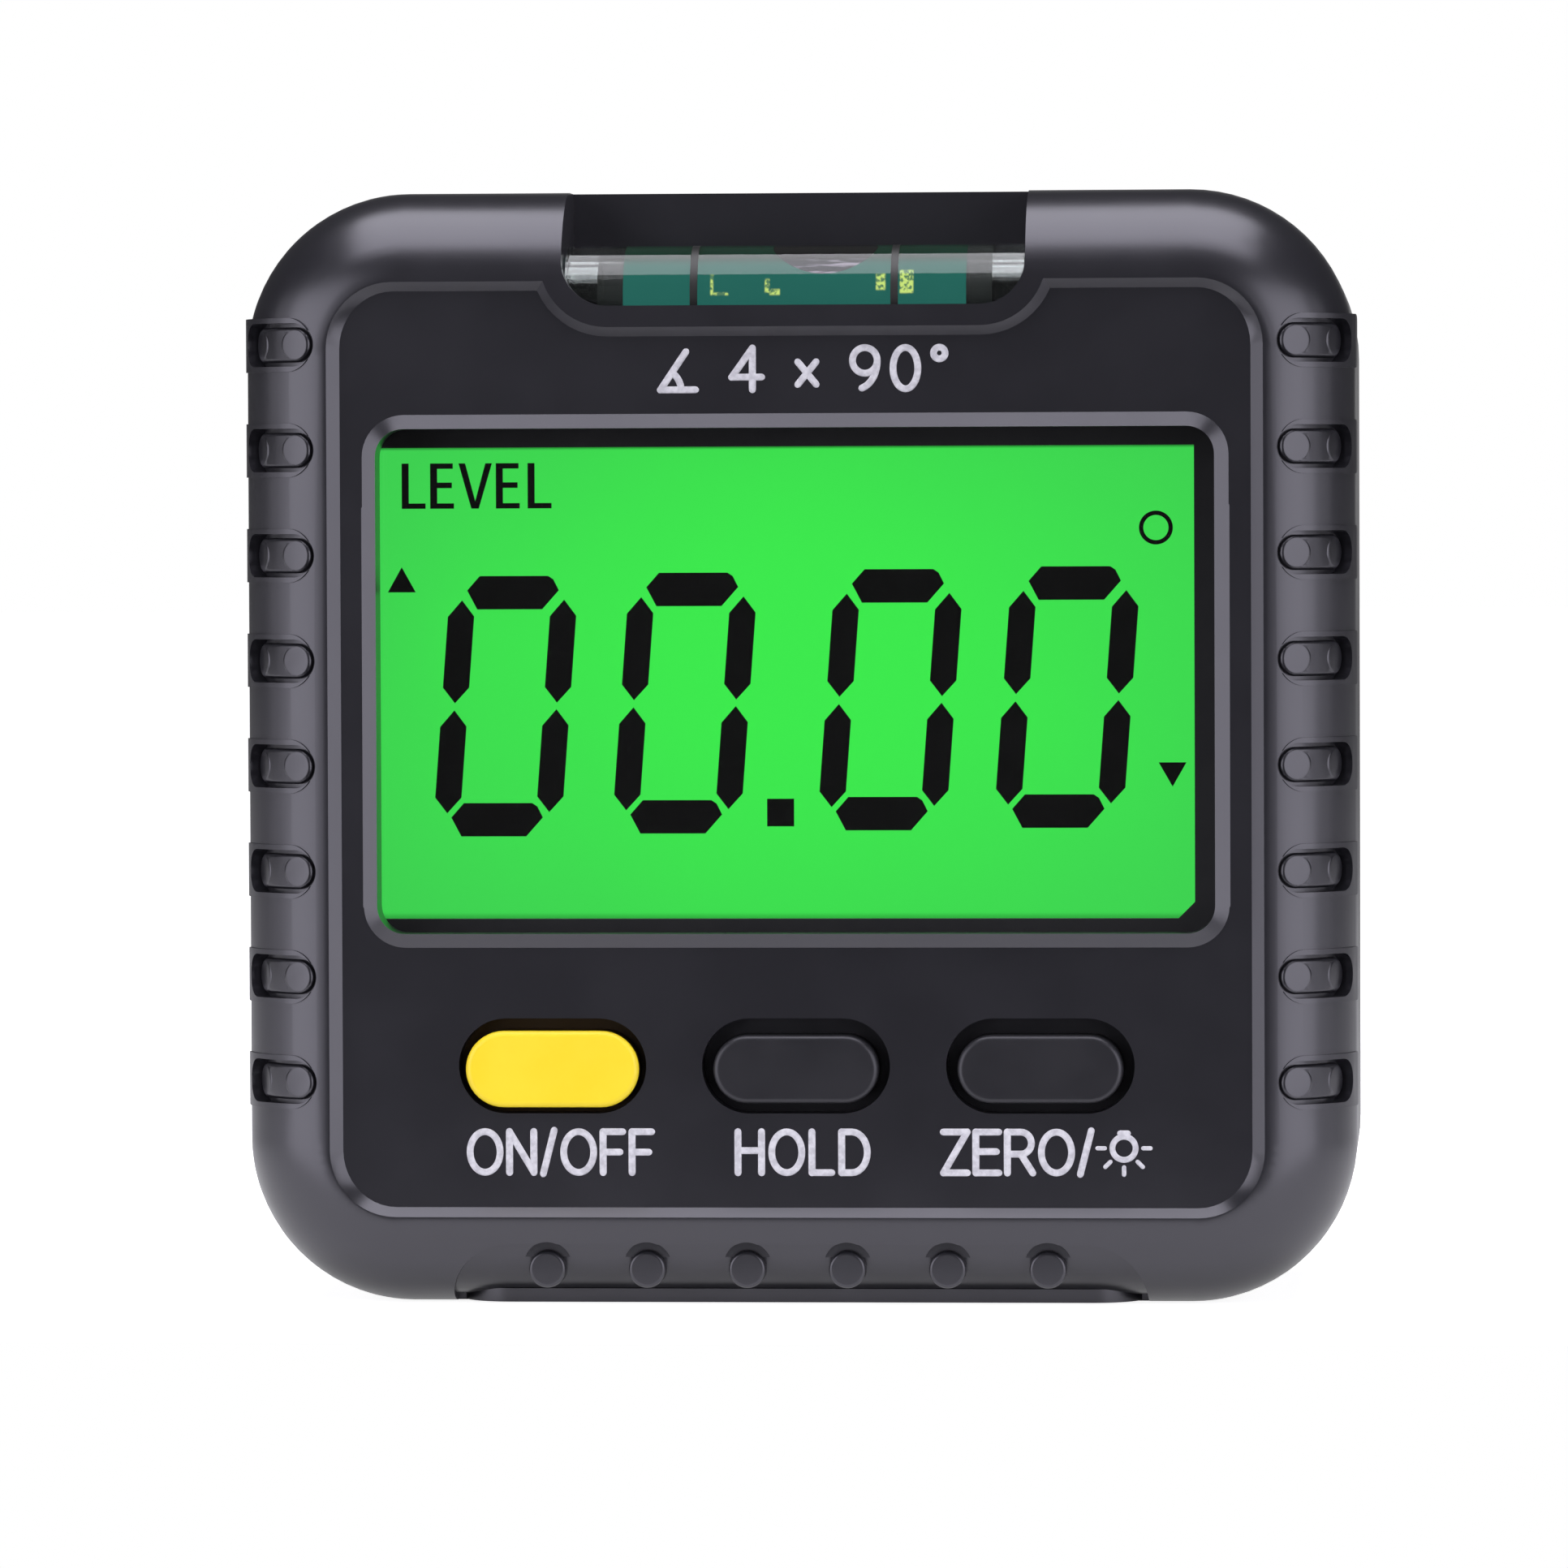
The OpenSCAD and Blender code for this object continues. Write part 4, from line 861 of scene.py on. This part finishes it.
def add_front_shell():
    """Mends the copy: no ledges at the display frame, wider panel sides, even gaps between ribs."""
    source = nodes["front_housing"]
    shell = bpy.data.objects.new("front_shell", source.data.copy())
    bpy.context.collection.objects.link(shell)
    only(shell)
    bpy.ops.mesh.customdata_custom_splitnormals_clear()
    bpy.ops.object.mode_set(mode="EDIT")
    bpy.ops.mesh.select_mode(type="VERT")
    # The merge operator has a least distance that would close the finest faces.
    mesh = bmesh.from_edit_mesh(shell.data)
    bmesh.ops.remove_doubles(mesh, verts=mesh.verts, dist=MERGE_REACH * MM)
    bmesh.update_edit_mesh(shell.data)
    for side in (-1, 1):
        # The foot of the display frame runs straight to the panel.
        for z_from, z_to in LEDGE_ENDS:
            start = Vector((side * LEDGE_X, LEDGE_Y, z_from))
            goal = Vector((side * FRAME_FOOT_X, PANEL_FACE_Y, z_to))
            pick(mesh, lambda x, y, z: (Vector((x, y, z)) - start).length < NEAR)
            bpy.ops.transform.translate(value=(goal - start) * MM)
        # The sloped edge along the sides of the panel is a little wider than it is deep.
        pick(mesh, lambda x, y, z: x * side > 0 and on_panel_edge(x, y, z))
        wide = PANEL_EDGE_X - PANEL_CORNER_X
        bpy.ops.transform.resize(
            value=((wide - PANEL_EDGE_PULL) / wide, 1, 1),
            center_override=(side * PANEL_CORNER_X * MM, 0, 0))
        bpy.ops.mesh.select_mode(type="EDGE")
        for gap in range(RIB_GAPS):
            rib = RIB_LOWEST + gap * RIB_PITCH
            even_gap(shell, side, rib + RIB_REACH, rib + RIB_PITCH - RIB_REACH)
        bpy.ops.mesh.select_mode(type="VERT")
        mesh = bmesh.from_edit_mesh(shell.data)
    bpy.ops.object.mode_set(mode="OBJECT")
    bpy.ops.object.shade_smooth_by_angle(angle=math.radians(SHELL_CREASE))
    even = shell.modifiers.new("even_shading", "WEIGHTED_NORMAL")
    even.keep_sharp = True
    bpy.ops.object.modifier_apply(modifier="even_shading")
    settle(shell, "case_charcoal")
    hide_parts("front_housing")


# Display marks

INK_RISE = 0.02
DIGIT_LEAN = 0.075
DIGIT_PLACES = ((-14.31, 29.04), (-5.57, 29.17), (4.43, 29.31), (13.0, 29.42))
UPRIGHT_BAR = (
    (0, 2.5), (-0.64, 1.7), (-0.64, -1.74), (0, -2.5), (0.64, -1.74), (0.64, 1.72))
FLAT_BAR = (
    (-2.235, 0.11), (-1.68, -0.81), (1.49, -0.81), (2.235, 0.11), (1.93, 0.64), (1.66, 0.81),
    (-1.67, 0.81))
BAR_PLACES = (
    (FLAT_BAR, 0, 5.52), (FLAT_BAR, 0, -5.52),
    (UPRIGHT_BAR, -2.45, 2.65), (UPRIGHT_BAR, -2.45, -2.7),
    (UPRIGHT_BAR, 2.53, 2.67), (UPRIGHT_BAR, 2.53, -2.65))

LETTER_H = 2.2
LETTER_L = ((0, 0), (1.16, 0), (1.16, 0.26), (0.34, 0.26), (0.34, LETTER_H), (0, LETTER_H))
LETTER_E = (
    (0, 0), (1.16, 0), (1.16, 0.26), (0.34, 0.26), (0.34, 1.0), (1.06, 1.0), (1.06, 1.27),
    (0.34, 1.27), (0.34, 1.94), (1.11, 1.94), (1.11, LETTER_H), (0, LETTER_H))
LETTER_V = (
    (0, LETTER_H), (0.62, 0), (0.98, 0), (1.63, LETTER_H), (1.31, LETTER_H), (0.81, 0.36),
    (0.32, LETTER_H))
WORD_Z = 38.65
WORD_LETTERS = (
    (LETTER_L, -19.30), (LETTER_E, -17.91), (LETTER_V, -16.52), (LETTER_E, -14.70),
    (LETTER_L, -13.15))
UP_ARROW = ((-20.0, 34.59), (-18.64, 34.59), (-19.32, 35.81))
DOWN_ARROW = ((18.80, 26.25), (17.46, 26.25), (18.13, 25.08))
POINT = ((-1.545, 23.18), (-0.235, 23.18), (-0.235, 24.52), (-1.545, 24.52))
DEGREE_PLACE = (17.355, 37.61)
DEGREE_R = 0.715
DEGREE_STROKE = 0.22


def leaning(points, x, z):
    return [(x + px + DIGIT_LEAN * (z + pz), z + pz) for px, pz in points]


def shifted(points, x, z):
    return [(x + px, z + pz) for px, pz in points]


def ink_plate(name, points):
    return plate(name, points, LCD_FACE_Y, INK_RISE)


def add_display_marks():
    bars = [ink_plate("bar", leaning(*bar)) for bar in BAR_PLACES]
    digit = joined("digit", bars)
    for number, (x, z) in enumerate(DIGIT_PLACES, 1):
        settle(copied(digit, f"display_digit_{number}", x, z), "lcd_ink")
    only(digit)
    bpy.ops.object.delete()

    letters = [ink_plate("letter", shifted(points, x, WORD_Z)) for points, x in WORD_LETTERS]
    settle(joined("display_word", letters), "lcd_ink")

    marks = (
        ("display_up_arrow", UP_ARROW), ("display_down_arrow", DOWN_ARROW), ("display_point", POINT))
    for name, points in marks:
        settle(ink_plate(name, points), "lcd_ink")
    ring = oval(*DEGREE_PLACE, DEGREE_R, DEGREE_R)
    settle(strokes("display_degree", (ring,), DEGREE_STROKE, LCD_FACE_Y, INK_RISE),
           "lcd_ink")


# Printed labels: for each sign its width and its lines, in units of the letter height.

LABEL_RISE = 0.02
SIGNS = {
    "O": (0.74, (oval(0.37, 0.5, 0.37, 0.5),)),
    "N": (0.60, (((0, 0), (0, 1)), ((0, 1), (0.6, 0)), ((0.6, 0), (0.6, 1)))),
    "/": (0.27, (((0, -0.03), (0.27, 1.03)),)),
    "F": (0.48, (((0, 0), (0, 1)), ((0, 1), (0.48, 1)), ((0, 0.5), (0.41, 0.5)))),
    "H": (0.58, (((0, 0), (0, 1)), ((0.58, 0), (0.58, 1)), ((0, 0.54), (0.58, 0.54)))),
    "L": (0.48, (((0, 1), (0, 0)), ((0, 0), (0.48, 0)))),
    "D": (0.63, (
        ((0, 0), (0, 1)),
        [(0, 1), (0.2, 1)] + bow(0.25, 0.5, 0.38, 0.5, 90, -90) + [(0.2, 0), (0, 0)])),
    "Z": (0.58, (((0, 1), (0.58, 1)), ((0.58, 1), (0, 0)), ((0, 0), (0.58, 0)))),
    "E": (0.56, (
        ((0, 0), (0, 1)), ((0, 1), (0.56, 1)), ((0, 0.52), (0.5, 0.52)), ((0, 0), (0.56, 0)))),
    "R": (0.62, (
        ((0, 0), (0, 1)),
        [(0, 1), (0.3, 1)] + bow(0.33, 0.73, 0.26, 0.27, 90, -90) + [(0.3, 0.46), (0, 0.46)],
        ((0.33, 0.46), (0.62, 0)))),
    "4": (0.72, (((0.5, 0), (0.5, 1)), ((0.5, 1), (0, 0.3)), ((0, 0.3), (0.72, 0.3)))),
    "9": (0.60, (
        oval(0.3, 0.69, 0.3, 0.31), bow(0.1, 0.69, 0.5, 0.69, 0, -75))),
    "0": (0.60, (oval(0.3, 0.5, 0.3, 0.5),)),
    "x": (0.44, (((0, 0.12), (0.44, 0.66)), ((0, 0.66), (0.44, 0.12)))),
    "d": (0.28, (oval(0.14, 0.86, 0.14, 0.14),)),
    "a": (0.85, (
        ((0, 0), (0.85, 0)), ((0, 0), (0.62, 0.92)), bow(0, 0, 0.5, 0.5, 2, 54))),
    " ": (0.12, ()),
}


def word_lines(text, left, right, low, high, width):
    """Lines of a word that fills the place given by its edges, in millimetres."""
    tall = high - low - width
    signs = [SIGNS[sign] for sign in text]
    spare = right - left - width - tall * sum(wide for wide, _ in signs)
    gap = spare / (len(signs) - 1)
    x = left + width / 2
    lines = []
    for wide, paths in signs:
        for path in paths:
            lines.append([(x + u * tall, low + width / 2 + v * tall) for u, v in path])
        x += wide * tall + gap
    return lines


LABEL_STROKE = 0.35
LABEL_LOW = 6.37
LABEL_HIGH = 8.69
LABELS = (
    ("label_on_off", "ON/OFF", -16.0, -6.84),
    ("label_hold", "HOLD", -3.0, 3.61),
    ("label_zero", "ZERO/", 6.94, 14.42),
)
TITLE = ("label_range", "a 4 x 90d", -6.6, 7.5, 44.16, 46.5)
# The lamp sign: its middle, ring, cap above the ring, and rays.
LAMP_X = 15.82
LAMP_Z = 7.74
LAMP_RING_R = 0.56
LAMP_RING_STROKE = 0.3
LAMP_CAP_HALF = 0.18
LAMP_CAP_UP = 0.72
RAY_TURNS = (180, 225, 270, 315, 360)
RAY_ENDS = (0.93, 1.27)
RAY_STROKE = 0.22


def add_label(name, text, left, right, low, high):
    lines = word_lines(text, left, right, low, high, LABEL_STROKE)
    piece = strokes(name, lines, LABEL_STROKE, PANEL_FACE_Y, LABEL_RISE)
    settle(piece, "label_silver")


def add_lamp_sign():
    hub = Vector((LAMP_X, LAMP_Z))
    cap = [(LAMP_X + half, LAMP_Z + LAMP_CAP_UP) for half in (-LAMP_CAP_HALF, LAMP_CAP_HALF)]
    ring = strokes(
        "lamp_ring", (oval(LAMP_X, LAMP_Z, LAMP_RING_R, LAMP_RING_R), cap), LAMP_RING_STROKE,
        PANEL_FACE_Y, LABEL_RISE)
    rays = []
    for turn in RAY_TURNS:
        way = Vector((math.cos(math.radians(turn)), math.sin(math.radians(turn))))
        rays.append([tuple(hub + way * reach) for reach in RAY_ENDS])
    beams = strokes("lamp_rays", rays, RAY_STROKE, PANEL_FACE_Y, LABEL_RISE)
    settle(joined("label_lamp", [ring, beams]), "label_silver")


def add_labels():
    for name, text, left, right in LABELS:
        add_label(name, text, left, right, LABEL_LOW, LABEL_HIGH)
    add_label(*TITLE)
    add_lamp_sign()


# Liquid and bubble of the vial

LIQUID_OVERLAP = 0.02
BUBBLE_OVERLAP = 0.03
VIAL_SIDES = 96
BALL_RINGS = 48
VIAL_CREASE = 30


def bar_along_x(name, radius, left, right):
    bpy.ops.object.select_all(action="DESELECT")
    bpy.ops.mesh.primitive_cylinder_add(
        vertices=VIAL_SIDES, radius=radius * MM, depth=(right - left) * MM,
        location=Vector(((left + right) / 2, VIAL_Y, VIAL_Z)) * MM,
        rotation=(0, math.radians(90), 0))
    piece = bpy.context.object
    piece.name = name
    bpy.ops.object.transform_apply(location=True, rotation=True)
    return piece


def cut_with_ball(piece, radius, operation):
    """Keeps the part of a piece inside or outside the ball of the bubble."""
    bpy.ops.mesh.primitive_uv_sphere_add(
        segments=VIAL_SIDES, ring_count=BALL_RINGS, radius=radius * MM,
        location=Vector((BUBBLE_X, VIAL_Y, BUBBLE_Z)) * MM)
    ball = bpy.context.object
    bpy.ops.object.transform_apply(location=True)
    only(piece)
    cut = piece.modifiers.new("cut", "BOOLEAN")
    cut.operation = operation
    cut.solver = "EXACT"
    cut.object = ball
    bpy.ops.object.modifier_apply(modifier="cut")
    only(ball)
    bpy.ops.object.delete()
    only(piece)
    bpy.ops.object.shade_smooth_by_angle(angle=math.radians(VIAL_CREASE))


def add_vial_filling():
    liquid = bar_along_x("spirit", BORE_R + LIQUID_OVERLAP, LIQUID_LOW.x, LIQUID_HIGH.x)
    cut_with_ball(liquid, BUBBLE_R, "DIFFERENCE")
    settle(liquid, "vial_green")
    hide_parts("vial_liquid")
    # The bubble is a skin that carries painted reflection and painted shade.
    bubble = bar_along_x("bubble", BORE_R + BUBBLE_OVERLAP, LIQUID_LOW.x, LIQUID_HIGH.x)
    cut_with_ball(bubble, BUBBLE_R - LIQUID_OVERLAP, "INTERSECT")
    settle(bubble, "bubble_painted_light")


add_front_shell()
add_display_marks()
add_labels()
add_vial_filling()
